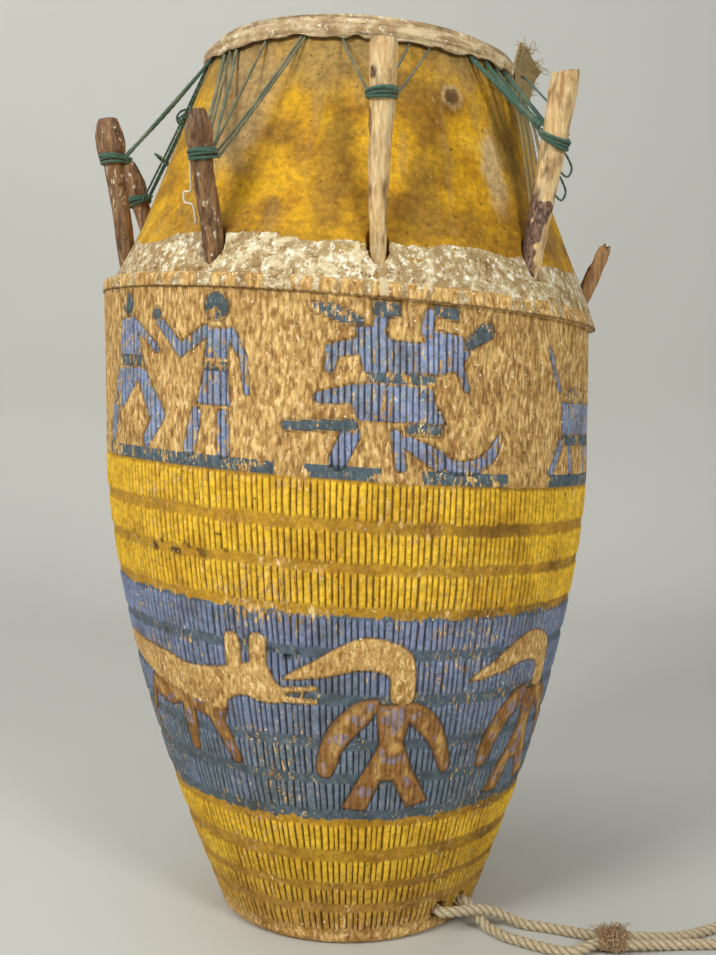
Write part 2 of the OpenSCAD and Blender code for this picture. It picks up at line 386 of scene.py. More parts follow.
def carved_wood():
    """Painted, worn wood. Paint colour, wear, the painted shade in grooves and holes, and the cream layer
    come from the mesh.
    """
    g = Graph("carved_wood", roughness=0.72, specular=0.3)
    wear = g.attribute("wear")
    cream = g.attribute("cream")
    strokes = g.noise(3.6, 5, 0.7, along=(1, 1, 0.34))
    dashes = g.noise(2.8, 2, 0.5, along=(1.3, 1.3, 0.42))
    worn = g.step(wear, 0.25, 0.6)

    # bare wood, and paint that flakes off it
    bare = g.mix(g.step(strokes, 0.38, 0.60), srgb(174, 130, 70), srgb(222, 182, 110))
    bare = g.mix(g.step(dashes, 0.55, 0.63, 0.8), bare, srgb(250, 216, 150))
    bare = g.mix(g.step(dashes, 0.44, 0.34, 0.6), bare, srgb(116, 78, 38))
    shade = g.between(g.step(g.noise(4.5, 5, 0.75), 0.3, 0.7), 0.66, 1.30)
    painted = g.mix(1.0, g.attribute("tint"), shade, "MULTIPLY")
    painted = g.mix(g.times(g.step(dashes, 0.60, 0.67, 0.22), worn), painted, srgb(240, 222, 184))
    flake = g.plus(g.noise(4.2, 5, 0.72, along=(1.3, 1.3, 0.5)), g.times(wear, 0.3))
    colour = g.mix(g.step(flake, 0.73, 0.77), painted, bare)

    # the crust of old cream paint, chipped where it is thin
    old = g.mix(g.step(g.noise(10, 5, 0.75), 0.42, 0.58), srgb(170, 144, 98), srgb(222, 206, 164))
    old = g.mix(g.step(g.noise(5, 5, 0.75), 0.54, 0.62), old, srgb(252, 246, 226))
    old = g.mix(g.step(g.noise(6, 5, 0.8), 0.55, 0.62), old, srgb(132, 100, 62))
    chips = g.plus(g.noise(6.0, 5, 0.75), g.times(g.calc("SUBTRACT", 1.0, cream), 0.4))
    whole = g.calc("SUBTRACT", 1.0, g.step(chips, 0.65, 0.68))
    covered = g.times(g.step(cream, 0.02, 0.12), whole)
    colour = g.mix(covered, colour, old)

    # dirt over everything, painted shade in the grooves, cuts and holes from the groove attribute, and small
    # dark and pale specks
    dirt = g.step(g.noise(26, 3, 0.6), 0.42, 0.72, 0.45)
    colour = g.mix(dirt, colour, srgb(176, 142, 92), "MULTIPLY")
    colour = g.mix(g.attribute("groove"), colour, g.mix(0.8, colour, srgb(64, 42, 20), "MULTIPLY"))
    colour = g.mix(g.step(g.noise(3.4, 3, 0.6), 0.66, 0.70, 0.7), colour, srgb(58, 36, 16))
    spot = g.step(g.noise(3.0, 3, 0.55, along=(1.3, 0.8, 1.1)), 0.68, 0.71)
    colour = g.mix(g.times(spot, worn), colour, srgb(250, 238, 206))

    height = g.plus(g.times(strokes, 0.8), g.times(flake, 0.5))
    g.bump(g.plus(height, g.times(covered, g.noise(3.2, 5, 0.75))), 0.8, 0.9)
    return g.finish(colour, g.between(g.noise(1.3, 3, 0.7), 0.58, 0.88))


def hide():
    g = Graph("hide", roughness=0.7, specular=0.3)
    base = g.mix(g.step(g.noise(14, 4, 0.7), 0.36, 0.62), srgb(216, 194, 150), srgb(168, 138, 94))
    base = g.mix(g.step(g.noise(9, 5, 0.8), 0.54, 0.62), base, srgb(132, 100, 62))
    base = g.mix(g.step(g.noise(4.5, 5, 0.75), 0.56, 0.64), base, srgb(246, 236, 208))
    # the groove attribute darkens the skin: painted shade in its dips and under the lap, and darker down the
    # lap towards its torn edge
    base = g.mix(g.times(g.attribute("groove"), 0.85), base, srgb(78, 54, 32))
    g.bump(g.plus(g.noise(1.6, 4, 0.7), g.noise(6, 3, 0.6)), 0.5, 0.9)
    return g.finish(base, g.between(g.noise(4, 3, 0.6), 0.5, 0.85))


def peg_wood(name, light, dark, deep, flecks):
    """Whittled branch wood; the bark attribute shows where bark is left on."""
    g = Graph(name, roughness=0.62, specular=0.35)
    grain = g.noise(2.6, 5, 0.7, along=(1, 1, 0.09))
    stains = g.noise(12, 4, 0.7, along=(1, 1, 0.3))
    spots = g.noise(3.4, 4, 0.8, along=(1, 1, 0.35))
    ridges = g.noise(1.5, 5, 0.75, along=(1, 1, 0.4))
    colour = g.mix(g.step(grain, 0.3, 0.72), dark, light)
    colour = g.mix(g.step(stains, 0.50, 0.64, 0.8), colour, deep)
    colour = g.mix(g.step(spots, 0.59, 0.66, flecks), colour, srgb(232, 222, 196))
    bark = g.mix(g.step(ridges, 0.4, 0.62), srgb(74, 50, 36), srgb(148, 118, 96))
    colour = g.mix(g.attribute("bark"), colour, bark)
    # groove darkens cracks and the end grain; on the split peg it is painted shade between the two slabs
    colour = g.mix(g.times(g.attribute("groove"), 0.75), colour, srgb(44, 28, 18))
    g.bump(g.plus(grain, g.times(g.attribute("bark"), g.noise(1.5, 4, 0.8))), 0.5, 0.9)
    return g.finish(colour, g.between(grain, 0.5, 0.8))


def twisted_fibre(name, light, dark, worn, size_mm=0.5):
    """Cord, rope and thread: fine fibres with faded and dirty stretches."""
    g = Graph(name, roughness=0.75, specular=0.3)
    colour = g.mix(g.step(g.noise(size_mm, 3, 0.7), 0.35, 0.65), dark, light)
    colour = g.mix(g.step(g.noise(16, 3, 0.6), 0.45, 0.7, 0.7), colour, worn)
    # painted shade from the groove attribute, between the laid strands of the rope
    colour = g.mix(g.attribute("groove"), colour, dark * 0.5)
    g.bump(g.noise(size_mm, 3, 0.7), 0.25, 0.8)
    g.surface.inputs["Sheen Weight"].default_value = 0.15
    return g.finish(colour)


# ---------------------------------------------------------------- flat shapes for the carved figures
# Each shape takes arrays x and y, in millimetres on the unrolled belly, and gives a signed
# distance: negative inside. x grows towards +X round the belly, y is carving height.

def disc(cx, cy, r):
    return lambda x, y: np.hypot(x - cx, y - cy) - r


def limb(ax, ay, bx, by, ra, rb=None):
    rb = ra if rb is None else rb
    dx, dy = bx - ax, by - ay

    def distance(x, y):
        t = np.clip(((x - ax) * dx + (y - ay) * dy) / (dx * dx + dy * dy), 0, 1)
        return np.hypot(x - ax - t * dx, y - ay - t * dy) - (ra + (rb - ra) * t)
    return distance


def patch(points, rounded=False):
    """A closed outline through its points, with straight or smooth sides."""
    p = np.asarray(points, float)
    if rounded:
        n = len(p)
        p = np.concatenate([middle_of_spline(p[np.arange(k - 1, k + 3) % n]) for k in range(n)])

    def distance(x, y):
        best = np.full(x.shape, 1e9)
        inside = np.zeros(x.shape, bool)
        for (ax, ay), (bx, by) in zip(p, np.roll(p, -1, axis=0)):
            dx, dy = bx - ax, by - ay
            t = np.clip(((x - ax) * dx + (y - ay) * dy) / max(dx * dx + dy * dy, 1e-9), 0, 1)
            best = np.minimum(best, np.hypot(x - ax - t * dx, y - ay - t * dy))
            crosses = (ay > y) != (by > y)
            where = ax + (y - ay) * dx / (dy if abs(dy) > 1e-9 else 1e-9)
            inside ^= crosses & (x < where)
        return np.where(inside, -best, best)
    return distance


def middle_of_spline(four, step=2.0):
    """The part of a smooth path through four points that lies between the middle two."""
    first, second = [steps_between(four[k], four[k + 1], step) for k in (0, 1)]
    return spline(four, step)[first:first + second]


def crescent(cx, cy, r, thick, start, end):
    """A curved blade: an arc of radius r from one angle to another, thickest in the middle."""
    a0, a1 = math.radians(start), math.radians(end)

    def distance(x, y):
        angle = np.arctan2(y - cy, x - cx)
        t = np.mod(angle - a0, 2 * math.pi) / (a1 - a0)
        inside = t <= 1
        half = 0.5 * thick * np.sqrt(np.clip(4 * t * (1 - t), 0.03, 1))
        d = np.abs(np.hypot(x - cx, y - cy) - r) - half
        ends = np.minimum(np.hypot(x - cx - r * math.cos(a0), y - cy - r * math.sin(a0)),
                          np.hypot(x - cx - r * math.cos(a1), y - cy - r * math.sin(a1)))
        return np.where(inside, d, ends)
    return distance


def union(*shapes):
    return lambda x, y: np.minimum.reduce([s(x, y) for s in shapes])


def person(reach):
    """A standing figure with a belt and one raised arm; reach is -1 or 1, the side of that arm."""
    m = reach
    body = union(
        patch([(-8 * m, 434), (10 * m, 433), (8 * m, 412), (-10 * m, 412)]),
        patch([(-10 * m, 407), (8 * m, 407), (10 * m, 384), (-17 * m, 384)]),
        limb(-9 * m, 431, -30 * m, 418, 4.5, 4.5), limb(-30 * m, 418, -51 * m, 437, 4.5, 3.5),
        limb(10 * m, 430, 19 * m, 416, 4.5, 3.0), limb(19 * m, 416, 21 * m, 394, 3.0, 2.4),
        limb(-17 * m, 378, -23 * m, 355, 4.6, 5.4), limb(4 * m, 378, 4 * m, 355, 4.4, 5.0))
    belt = patch([(-11 * m, 413), (8 * m, 413), (8 * m, 406), (-11 * m, 406)])
    head = union(disc(0, 447, 9.5), disc(-53 * m, 441, 4.5))
    return body, union(belt, head)


def strider():
    """A figure in mid stride, with a belt and a bent knee."""
    body = union(
        patch([(-24, 438), (-4, 440), (6, 413), (-30, 413)]),
        patch([(-31, 406), (8, 406), (30, 378), (14, 372), (0, 397), (-24, 376), (-40, 384)]),
        limb(24, 374, 10, 357, 6.0, 4.5), limb(-38, 380, -46, 357, 6.5, 5.0),
        limb(-2, 434, 22, 418, 3.6, 3.0))
    belt = union(patch([(-32, 413.5), (7, 413.5), (9, 405.5), (-32, 405.5)]),
                 patch([(-48, 387), (-28, 389), (-28, 380), (-48, 378)]))
    return body, union(belt, disc(-14, 448, 8))


def horned_beast():
    """A two-headed, long-snouted creature of the carver's own, on bent legs with a sickle tail."""
    body = union(
        patch([(-32, 440), (-14, 442), (-9, 433), (12, 433), (17, 442), (38, 440), (44, 428), (36, 417),
               (22, 413), (-27, 412), (-30, 426)]),
        patch([(-27, 406), (18, 406), (20, 396), (28, 382), (-30, 381), (-36, 394)]),
        limb(-30, 428, -46, 424, 5.5, 5.0), limb(-46, 424, -48, 413, 5.0, 3.6),
        limb(-32, 398, -54, 394, 6.5, 4.2), limb(36, 420, 42, 406, 4.0, 2.6),
        limb(-35, 372, -43, 355, 6.5, 6.0), limb(-6, 374, -3, 354, 4.0, 4.0),
        limb(2, 369, 22, 359, 5.0, 7.0), crescent(40, 384, 29, 10, 215, 352),
        limb(-16, 443, -14, 450, 5.0, 4.0), limb(14, 440, 16, 451, 4.2, 4.2))
    marks = union(
        patch([(-28, 412.5), (20, 412.5), (20, 405.5), (-30, 405.5)]),
        patch([(0, 382), (26, 382), (26, 374), (0, 374)]),
        patch([(-62, 453), (-46, 454), (-26, 446), (-26, 440), (-40, 441), (-60, 447)]),
        patch([(-22, 457.5), (-3, 457.5), (-3, 448), (-13, 446), (-21, 447)]),
        patch([(18, 457.5), (36, 457.5), (36, 448), (19, 450)]),
        limb(44, 435, 57, 444, 4.5, 6.0), limb(-76, 375, -34, 378, 3.6, 4.2))
    return body, marks


def grazer():
    """A heavy four-legged animal, cut as a block, with its neck held up in front."""
    body = union(
        patch([(0, 403), (76, 403), (78, 380), (1, 380)]),
        limb(-17, 437, -3, 411, 2.4, 3.0), limb(0, 374, -13, 354, 3.6, 3.4),
        limb(14, 374, 15, 354, 2.6), limb(56, 374, 50, 354, 4.0, 3.6), limb(74, 374, 80, 354, 4.0, 3.6))
    marks = union(patch([(10, 413), (60, 412), (62, 403), (10, 403)]),
                  patch([(1, 380), (78, 380), (77, 372), (2, 372)]))
    return body, marks


def hornbill():
    """A great-billed bird seen from the front, wings spread and feet apart."""
    bill = patch([(-62, 208.5), (-40, 224), (-22, 236), (-7, 241), (10, 237), (20, 229), (23, 216),
                  (22, 196), (8, 196), (6, 212), (0, 216.5), (-14, 217.5), (-34, 212)], rounded=True)
    wings = union(
        patch([(0, 197), (-15, 195), (-31, 180), (-40, 162), (-43, 143), (-36, 139), (-31, 143),
               (-22, 163), (-5, 183)], rounded=True),
        patch([(12, 196), (30, 193), (44, 180), (53, 160), (57, 145), (52, 140), (47, 146),
               (37, 164), (20, 182)], rounded=True))
    body = patch([(-2, 194), (18, 194), (21, 180), (18, 166), (26, 146), (43, 119), (25, 115), (12, 137),
                  (3, 137), (-7, 114), (-26, 116), (-9, 146), (1, 164), (-1, 180)])
    return bill, union(wings, body)


def jaguar():
    """A long-bodied animal with two upright ears and open jaws."""
    plain = union(
        patch([(-100, 212), (-80, 215), (-26, 212), (-2, 208), (22, 210), (34, 213), (58, 218), (66, 206),
               (72, 200), (71, 192), (56, 190), (42, 193), (30, 188), (24, 180), (-10, 184), (-44, 190),
               (-80, 198), (-100, 202)], rounded=True),
        limb(38, 211, 38, 231, 6.0, 5.6), limb(55, 213, 56, 232, 6.0, 6.0),
        limb(68, 200, 92, 203.5, 2.4, 1.6), limb(68, 194, 92, 194, 2.4, 1.6), limb(82, 195, 84, 201, 1.0))
    stained = union(
        patch([(-52, 190), (-28, 190), (-6, 186), (24, 184), (23, 172), (14, 170), (-2, 174), (-18, 176),
               (-34, 172), (-56, 178)], rounded=True),
        limb(-10, 178, -13, 148, 7.0, 5.0), limb(14, 176, 28, 146, 7.0, 4.4),
        limb(-50, 186, -72, 160, 4.0, 2.6), limb(-72, 160, -62, 140, 2.6, 2.0))
    return plain, stained


# Where the friezes go: azimuth of each figure's own middle. Those from -90 to 90 are seen from the
# front; the rest carry the same friezes on round the back.
UPPER_FRIEZE = [(-50, strider()), (-26.5, person(1)), (12, horned_beast()), (54, grazer()),
                (100, strider()), (128, person(1)), (162, horned_beast()), (206, person(-1)),
                (232, strider()), (262, person(1))]
LOWER_FRIEZE = [(-40, jaguar()), (8, hornbill()), (53, hornbill()), (98, hornbill()),
                (156, jaguar()), (212, hornbill()), (254, hornbill())]
UPPER_R, LOWER_R = 184.0, 159.0         # the radius at which each frieze is unrolled

# Fluted rows, as (top, bottom) carving heights; what lies between two rows is a plain strip.
YELLOW_ROWS = [(341.5, 318.0), (310.0, 290.0), (283.0, 260.5),
               (101.0, 82.0), (72.0, 54.5), (48.0, 36.0), (28.0, 13.5)]
BLUE_ROWS = [(253.0, 232.0), (225.0, 200.0), (192.0, 168.0), (160.5, 141.5), (134.5, 114.0)]
# Where the bands of colour end, and the dark line that the upper figures stand on.
RELIEF_FOOT, YELLOW_FOOT, BLUE_FOOT = 343.5, 254.5, 107.0
BASE_LINE = 352.0
# Blackened places, as (azimuth, carving height, width in degrees, height in millimetres).
SOOT = [(-43, 287, 14, 6), (-24, 300, 7, 11), (2, 226, 9, 5), (-14, 226, 5, 4), (58, 336, 4, 4)]
FLUTE_PITCH = 4.4


def frieze(figures, radius, azimuth, w):
    """Signed distances to a frieze's first and second kind of shape, for the whole grid."""
    nearest = np.full((2,) + azimuth.shape, 99.0)
    for centre, shapes in figures:
        x = np.radians(degrees_from(azimuth, centre)) * radius
        near = np.abs(x) < 125
        for distance, shape in zip(nearest, shapes):
            distance[near] = np.minimum(distance[near], shape(x[near], w[near]))
    return nearest


def flutes(azimuth, w, top, bottom, seed):
    """Ribs of one row: how deep each point is cut, how much of a groove it is, and how much in the row."""
    u = azimuth / 360.0
    middle = (top + bottom) / 2
    count = round(2 * math.pi * float(belly_radius(middle)) / FLUTE_PITCH)
    sway = 0.10 * noise(u, w / LIP_H, 70, 20, seed) + 0.28 * noise(u, 0 * w, 170, 1, seed + 1)
    f = np.mod(u * count + sway, 1.0)
    edge = np.minimum(f, 1 - f) * 2
    width = 0.40 + 0.12 * noise(u, w / LIP_H, 300, 60, seed + 2)
    groove = 1 - smooth(0.12, 1.0, edge / width)
    ragged = 1.1 * noise(u, 0 * w, count, 1, seed + 3)
    inside = smooth(-0.7, 1.1, w - bottom + ragged) * smooth(-0.7, 1.1, top + ragged - w)
    rib = 0.5 * (1 - edge) ** 2
    return (1.6 * groove + rib), groove, inside


def cut_rows(azimuth, w):
    """All rows of flutes: their depth, how much of a groove each point is, and where rows are."""
    depth, lines, fluted = np.zeros((3,) + w.shape)
    for k, (top, bottom) in enumerate(YELLOW_ROWS + BLUE_ROWS):
        near = (w < top + 3) & (w > bottom - 3)
        depth[near], lines[near], fluted[near] = flutes(azimuth[near], w[near], top, bottom, 40 + 7 * k)
    return depth, lines, fluted


def soot(azimuth, w):
    """How black each point is, from 0 to 1."""
    amount = np.zeros(w.shape)
    for at, high, wide, tall in SOOT:
        amount += np.exp(-(degrees_from(azimuth, at) / wide) ** 2 - ((w - high) / tall) ** 2)
    return np.clip(amount * smooth(0.30, 0.42, fractal(azimuth / 360, w / LIP_H, 170, 90, 24, 2)), 0, 1)


def brown_stain(u, v, stained, lines):
    """The stained figures' colour: brown at their edges, with streaks of bare wood and spared blue inside."""
    streak = 0.5 + 0.5 * fractal(u, v, 130, 34, 26, 3)
    brown = blend_colour(STAIN, TAN, 0.75 * smooth(-1.5, -4.5, stained) * smooth(0.42, 0.66, streak))
    spared = smooth(0.1, 0.3, fractal(u, v, 90, 60, 27, 2)) * smooth(-2.0, -3.5, stained)
    return blend_colour(brown, BLUE, 0.55 * spared * smooth(0.5, 0.1, lines))


def carve_belly(azimuth, w):
    """Cut depth in millimetres and the paint's attributes, with painted shade in the grooves and on the lower
    belly, for every point of the belly.
    """
    u, v = azimuth / 360.0, w / LIP_H
    cut = 0.25 * fractal(u, v, 90, 40, 11) + 0.5 * fractal(u, v, 14, 6, 12)
    wear = 0.5 + 0.5 * fractal(u, v, 22, 9, 13, 4)
    mottled = 0.5 + 0.5 * fractal(u, v, 36, 16, 14, 4)
    drip = 2.2 * fractal(u, 0 * v, 70, 1, 15) + 1.2 * noise(u, 0 * v, 260, 1, 16)
    tint = np.empty(w.shape + (3,))
    tint[:] = blend_colour(TAN, TAN_DARK, 0.5 * mottled)

    relief = w > RELIEF_FOOT
    blue = (w < YELLOW_FOOT + drip) & (w > BLUE_FOOT + drip)
    yellow = ~relief & ~blue
    tint[yellow] = blend_colour(YELLOW, YELLOW_DULL, mottled)[yellow]
    greyed = np.clip(0.8 * mottled + 0.5 * smooth(235, 130, w), 0, 1)
    tint[blue] = blend_colour(BLUE, BLUE_GREY, greyed)[blue]

    # fluted rows and the strips between them
    depth, lines, fluted = cut_rows(azimuth, w)
    strip = (w < RELIEF_FOOT) * (1 - fluted)
    tint[blue] = blend_colour(tint[blue], SLATE * 0.9, 0.85 * strip[blue])
    tint[yellow] = blend_colour(tint[yellow], YELLOW_STRIP, 0.9 * strip[yellow])
    # the strips turn darker brown in patches towards the right side
    right_side_darkening = strip * smooth(-10, 45, degrees_from(azimuth, 0)) * smooth(0.3, 0.7, mottled)
    tint[yellow] = blend_colour(tint[yellow], srgb(112, 80, 26), 0.7 * right_side_darkening[yellow])
    tint[yellow] = blend_colour(tint[yellow], srgb(198, 148, 76), 0.6 * smooth(70, 12, w)[yellow])
    tint = blend_colour(tint, srgb(34, 26, 20), soot(azimuth, w))

    # upper frieze: blue fluted figures on tool-marked bare wood
    body, marks = frieze(UPPER_FRIEZE, UPPER_R, azimuth, w)
    rib_depth, rib_lines = flutes(azimuth, w, LIP_H, RELIEF_FOOT, 201)[:2]
    in_body = smooth(0.5, -0.5, body) * relief * smooth(-0.3, 0.6, marks)
    in_marks = smooth(0.5, -0.5, marks) * relief
    line = ((w < BASE_LINE) & relief & (noise(u, 0 * v, 34, 1, 17) > -0.35)).astype(float)
    in_marks = np.maximum(in_marks, line)
    depth = np.where(relief, rib_depth, depth)
    lines = np.where(relief, rib_lines, lines)
    fluted = np.where(relief, in_body, fluted)
    tint = blend_colour(tint, 1.3 * blend_colour(BLUE, BLUE_GREY, mottled), in_body)
    tint = blend_colour(tint, SLATE, in_marks)
    plain = relief * (1 - np.maximum(in_body, in_marks))
    chatter = np.clip(0.2 + fractal(u, v, 500, 90, 18, 2), 0, 1) * plain
    outline = np.exp(-(np.minimum(body, marks) / 0.7) ** 2) * relief

    # lower frieze: plain and stained figures left standing among the flutes
    bare, stained = frieze(LOWER_FRIEZE, LOWER_R, azimuth, w)
    in_bare, in_stained = smooth(0.5, -0.5, bare), smooth(0.5, -0.5, stained)
    figure = np.maximum(in_bare, in_stained) * ~relief
    fluted = fluted * (1 - in_bare * ~relief) * (1 - 0.65 * in_stained * ~relief)
    tint = blend_colour(tint, blend_colour(TAN, TAN_DARK, 0.4 * mottled), in_bare * ~relief)
    tint = blend_colour(tint, brown_stain(u, v, stained, lines), in_stained * ~relief)
    edge = np.exp(-(np.minimum(bare, stained) / 0.8) ** 2) * ~relief
    outline = np.maximum(outline, edge)

    cut += fluted * depth + 0.9 * strip * (1 - figure) + 0.9 * outline + 0.8 * chatter
    # groove is painted shade in the flutes' grooves, the incised outlines and the tool chatter
    groove = np.maximum(fluted * lines, np.maximum(0.8 * outline, 0.5 * chatter))
    rubbed = np.exp(-(degrees_from(azimuth, -12) / 24) ** 2) * smooth(225, 262, w)
    wear = np.where(relief, 0.28 + 0.5 * wear + 0.35 * in_marks * (mottled > 0.55), 0.75 * wear)
    wear = wear + 0.42 * rubbed * (0.5 + 0.5 * noise(u, v, 90, 50, 23)) * ~relief
    wear = np.clip(wear * (1 - 0.8 * figure) + 0.7 * smooth(30, 0, w), 0, 1.2)
    wear = wear + 2.0 * plain + 0.9 * in_bare * ~relief
    # painted shade: the belly darkens towards the foot, by up to 22 % at the bottom, except on the lower
    # figures
    tint = tint * (1 - 0.22 * smooth(120, 20, w) * (1 - figure))[..., None]
    return cut, tint, wear, groove


WOOD_KNOT_AZ, WOOD_KNOT_H = 28.2, 143.0


def knot_on_neck(azimuth, h):
    """A round knot high on the front of the neck: a ragged pale ring round a dark middle."""
    x = np.radians(azimuth - WOOD_KNOT_AZ) * float(neck_radius(WOOD_KNOT_H))
    d = np.hypot(x, h - WOOD_KNOT_H) + 1.2 * noise(azimuth / 360, h / NECK_H, 300, 60, 71)
    ring = np.exp(-((d - 7.0) / 1.6) ** 2)
    return ring, smooth(6.5, 4.5, d)


# Bare, dirty and darker places on the neck: azimuth, height, half width in degrees, half height, colour. The
# narrow dark band at 48 degrees is painted shade beside the pale patch at 40 degrees.
NECK_PATCHES_AND_SHADE = [(-40, 128, 17, 48, srgb(166, 138, 90)), (-12, 150, 9, 22, srgb(158, 128, 66)),
               (40, 98, 5, 30, srgb(196, 172, 128)), (48, 118, 6, 44, srgb(138, 106, 40)),
               (-5, 84, 5, 46, srgb(152, 112, 30)), (17, 70, 5, 34, srgb(160, 120, 34)),
               (150, 90, 14, 50, srgb(166, 138, 90)), (230, 110, 16, 40, srgb(158, 128, 66))]


def carve_neck(azimuth, h):
    """As carve_belly, for the lip and the neck, with the amount of cream crust as well."""
    u, v = azimuth / 360.0, h / NECK_H
    cut = 0.5 * fractal(u, v, 26, 5, 31, 3) + 0.12 * fractal(u, v, 160, 60, 32)
    mottled = 0.5 + 0.5 * fractal(u, v, 18, 7, 33, 5)
    streaks = 0.5 + 0.5 * fractal(u, v, 60, 4, 34, 4)
    tint = blend_colour(OCHRE, OCHRE_DARK, smooth(0.38, 0.72, mottled))
    tint = blend_colour(tint, srgb(226, 180, 52), 0.8 * smooth(0.42, 0.2, mottled))
    tint = blend_colour(tint, srgb(160, 130, 76), 0.4 * smooth(0.60, 0.76, streaks))
    top_shade = smooth(120, 178, h + 26 * fractal(u, v, 24, 3, 35, 4))
    tint = blend_colour(tint, srgb(150, 124, 76), 0.75 * top_shade)
    ragged = 0.5 * fractal(u, v, 40, 12, 29, 4)
    # lay on the bare, dirty and darker patches; the dark band at 48 degrees among them is painted shade
    for at, high, wide, tall, colour in NECK_PATCHES_AND_SHADE:
        x = degrees_from(azimuth, at) / wide
        there = smooth(1.25, 0.55, np.hypot(x, (h - high) / tall) + ragged)
        tint = blend_colour(tint, colour, 0.8 * there)
    edge = 37 + 7 * fractal(u, 0 * v, 26, 1, 36, 5)
    cream = smooth(edge + 1.2, edge - 1.2, h) * (0.9 + 0.25 * fractal(u, v, 44, 30, 37, 3))
    on_lip = h < LIP_T + 0.5
    tint[on_lip] = blend_colour(srgb(206, 168, 110), srgb(132, 94, 52), mottled)[on_lip]
    flecks = smooth(0.0, 0.2, fractal(u, v, 190, 6, 38, 3)) * smooth(0.4, 2.0, h)
    cream = np.where(on_lip, flecks, np.clip(cream, 0, 1))
    ring, hole = knot_on_neck(azimuth, h)
    tint = blend_colour(tint, srgb(190, 170, 128), 0.7 * ring)
    tint = blend_colour(tint, srgb(128, 98, 56), hole)
    cut += 0.8 * hole - 0.5 * ring + 0.5 * on_lip * np.clip(fractal(u, v, 300, 5, 39), 0, 1)
    wear = 0.1 + 0.28 * mottled + 1.6 * on_lip
    # groove is painted shade in the knot's hollow and along the lip's lower edge, where it meets the belly
    groove = 0.35 * hole + 0.8 * smooth(1.8, 0.3, h)
    return cut, tint, wear, groove, cream


# ---------------------------------------------------------------- the pegs' places

class Peg:
    """One peg's own frame, read from the CAD: z out along the peg, y towards the drum, x sideways."""

    def __init__(self, number):
        self.number = number
        self.name = "peg_%d" % number
        joint = next(j for j in frame["joints"] if j["child"] == self.name)
        self.z = unit(joint["axis"])
        points = self.vertices(self.name)
        heights = points @ self.z
        nose = points[heights < heights.min() + 0.5]
        self.foot = 0.5 * (nose.min(0) + nose.max(0)) + SHANK_L * self.z
        self.length = float(((points - self.foot) @ self.z).max())
        shank = (points - self.foot)[heights < heights.min() + 40]
        self.shank_r = float(np.linalg.norm(np.cross(shank, self.z), axis=1).max())
        c, s = math.cos(LEAN), math.sin(LEAN)
        upright = np.array([[c, 0, -s], [0, 1, 0], [s, 0, c]])
        self.axis_leaning = upright @ self.z
        self.foot_leaning = upright @ (self.foot - [0, 0, LIP_H])
        self.azimuth = math.degrees(math.atan2(self.foot_leaning[0], -self.foot_leaning[1]))
        a = math.radians(self.azimuth)
        self.y = unit(np.cross(self.z, [math.cos(a), math.sin(a), 0.0]))
        self.x = np.cross(self.y, self.z)
        wrap = "cord_wrap_%d" % number
        self.wrap_at = None
        if wrap in frame["nodes"]:
            turns = (self.vertices(wrap) - self.foot) @ self.z
            self.wrap_at = 0.5 * float(turns.min() + turns.max())

    @staticmethod
    def vertices(node):
        mesh = frame["nodes"][node].data
        co = np.zeros(len(mesh.vertices) * 3, np.float32)
        mesh.vertices.foreach_get("co", co)
        return co.reshape(-1, 3).astype(float) / MM

    def place(self, p):
        p = np.asarray(p, float)
        return self.foot + p[..., :1] * self.x + p[..., 1:2] * self.y + p[..., 2:3] * self.z


PEGS = {k: Peg(k) for k in range(1, 10)}


def pit_depth(azimuth, r, h):
    """How far the neck's surface is cut back, along its radius, into the mouths of the bores."""
    depth = np.zeros(azimuth.shape)
    points = around(azimuth, r, h)
    inwards = -unit(around(azimuth, np.ones_like(r), 0 * h))
    for k, peg in PEGS.items():
        ragged = 0.9 * fractal(azimuth / 360, h / NECK_H, 160, 40, 60 + k, 2)
        mouth = peg.shank_r + 2.2 + ragged
        axis = peg.axis_leaning
        q = points - peg.foot_leaning
        q = q - (q @ axis)[..., None] * axis
        e = inwards - (inwards @ axis)[..., None] * axis
        a, b, c = (e * e).sum(-1), (q * e).sum(-1), (q * q).sum(-1) - mouth ** 2
        near = (c < 0) & ((points @ peg.foot_leaning) > 0)
        root = np.sqrt(np.clip(b * b - a * c, 0, None))
        depth = np.where(near, np.maximum(depth, (root - b) / a), depth)
    return np.clip(depth, 0, 15)


# ---------------------------------------------------------------- the shell

ROPE_AZ, ROPE_H, ROPE_HOLE_R, ROPE_SPREAD = 45.5, 19.0, 6.5, 12.0


def rope_hole_depth(azimuth, z):
    x = np.radians(azimuth - ROPE_AZ) * float(belly_radius(ROPE_H))
    depth = np.zeros(azimuth.shape)
    for side in (-1, 1):
        d = np.hypot(x - side * ROPE_SPREAD, z - ROPE_H) + 0.5 * noise(azimuth / 360, z / 60, 200, 20, 91)
        depth = np.maximum(depth, 12 * smooth(ROPE_HOLE_R + 0.4, ROPE_HOLE_R - 0.9, d))
    return depth


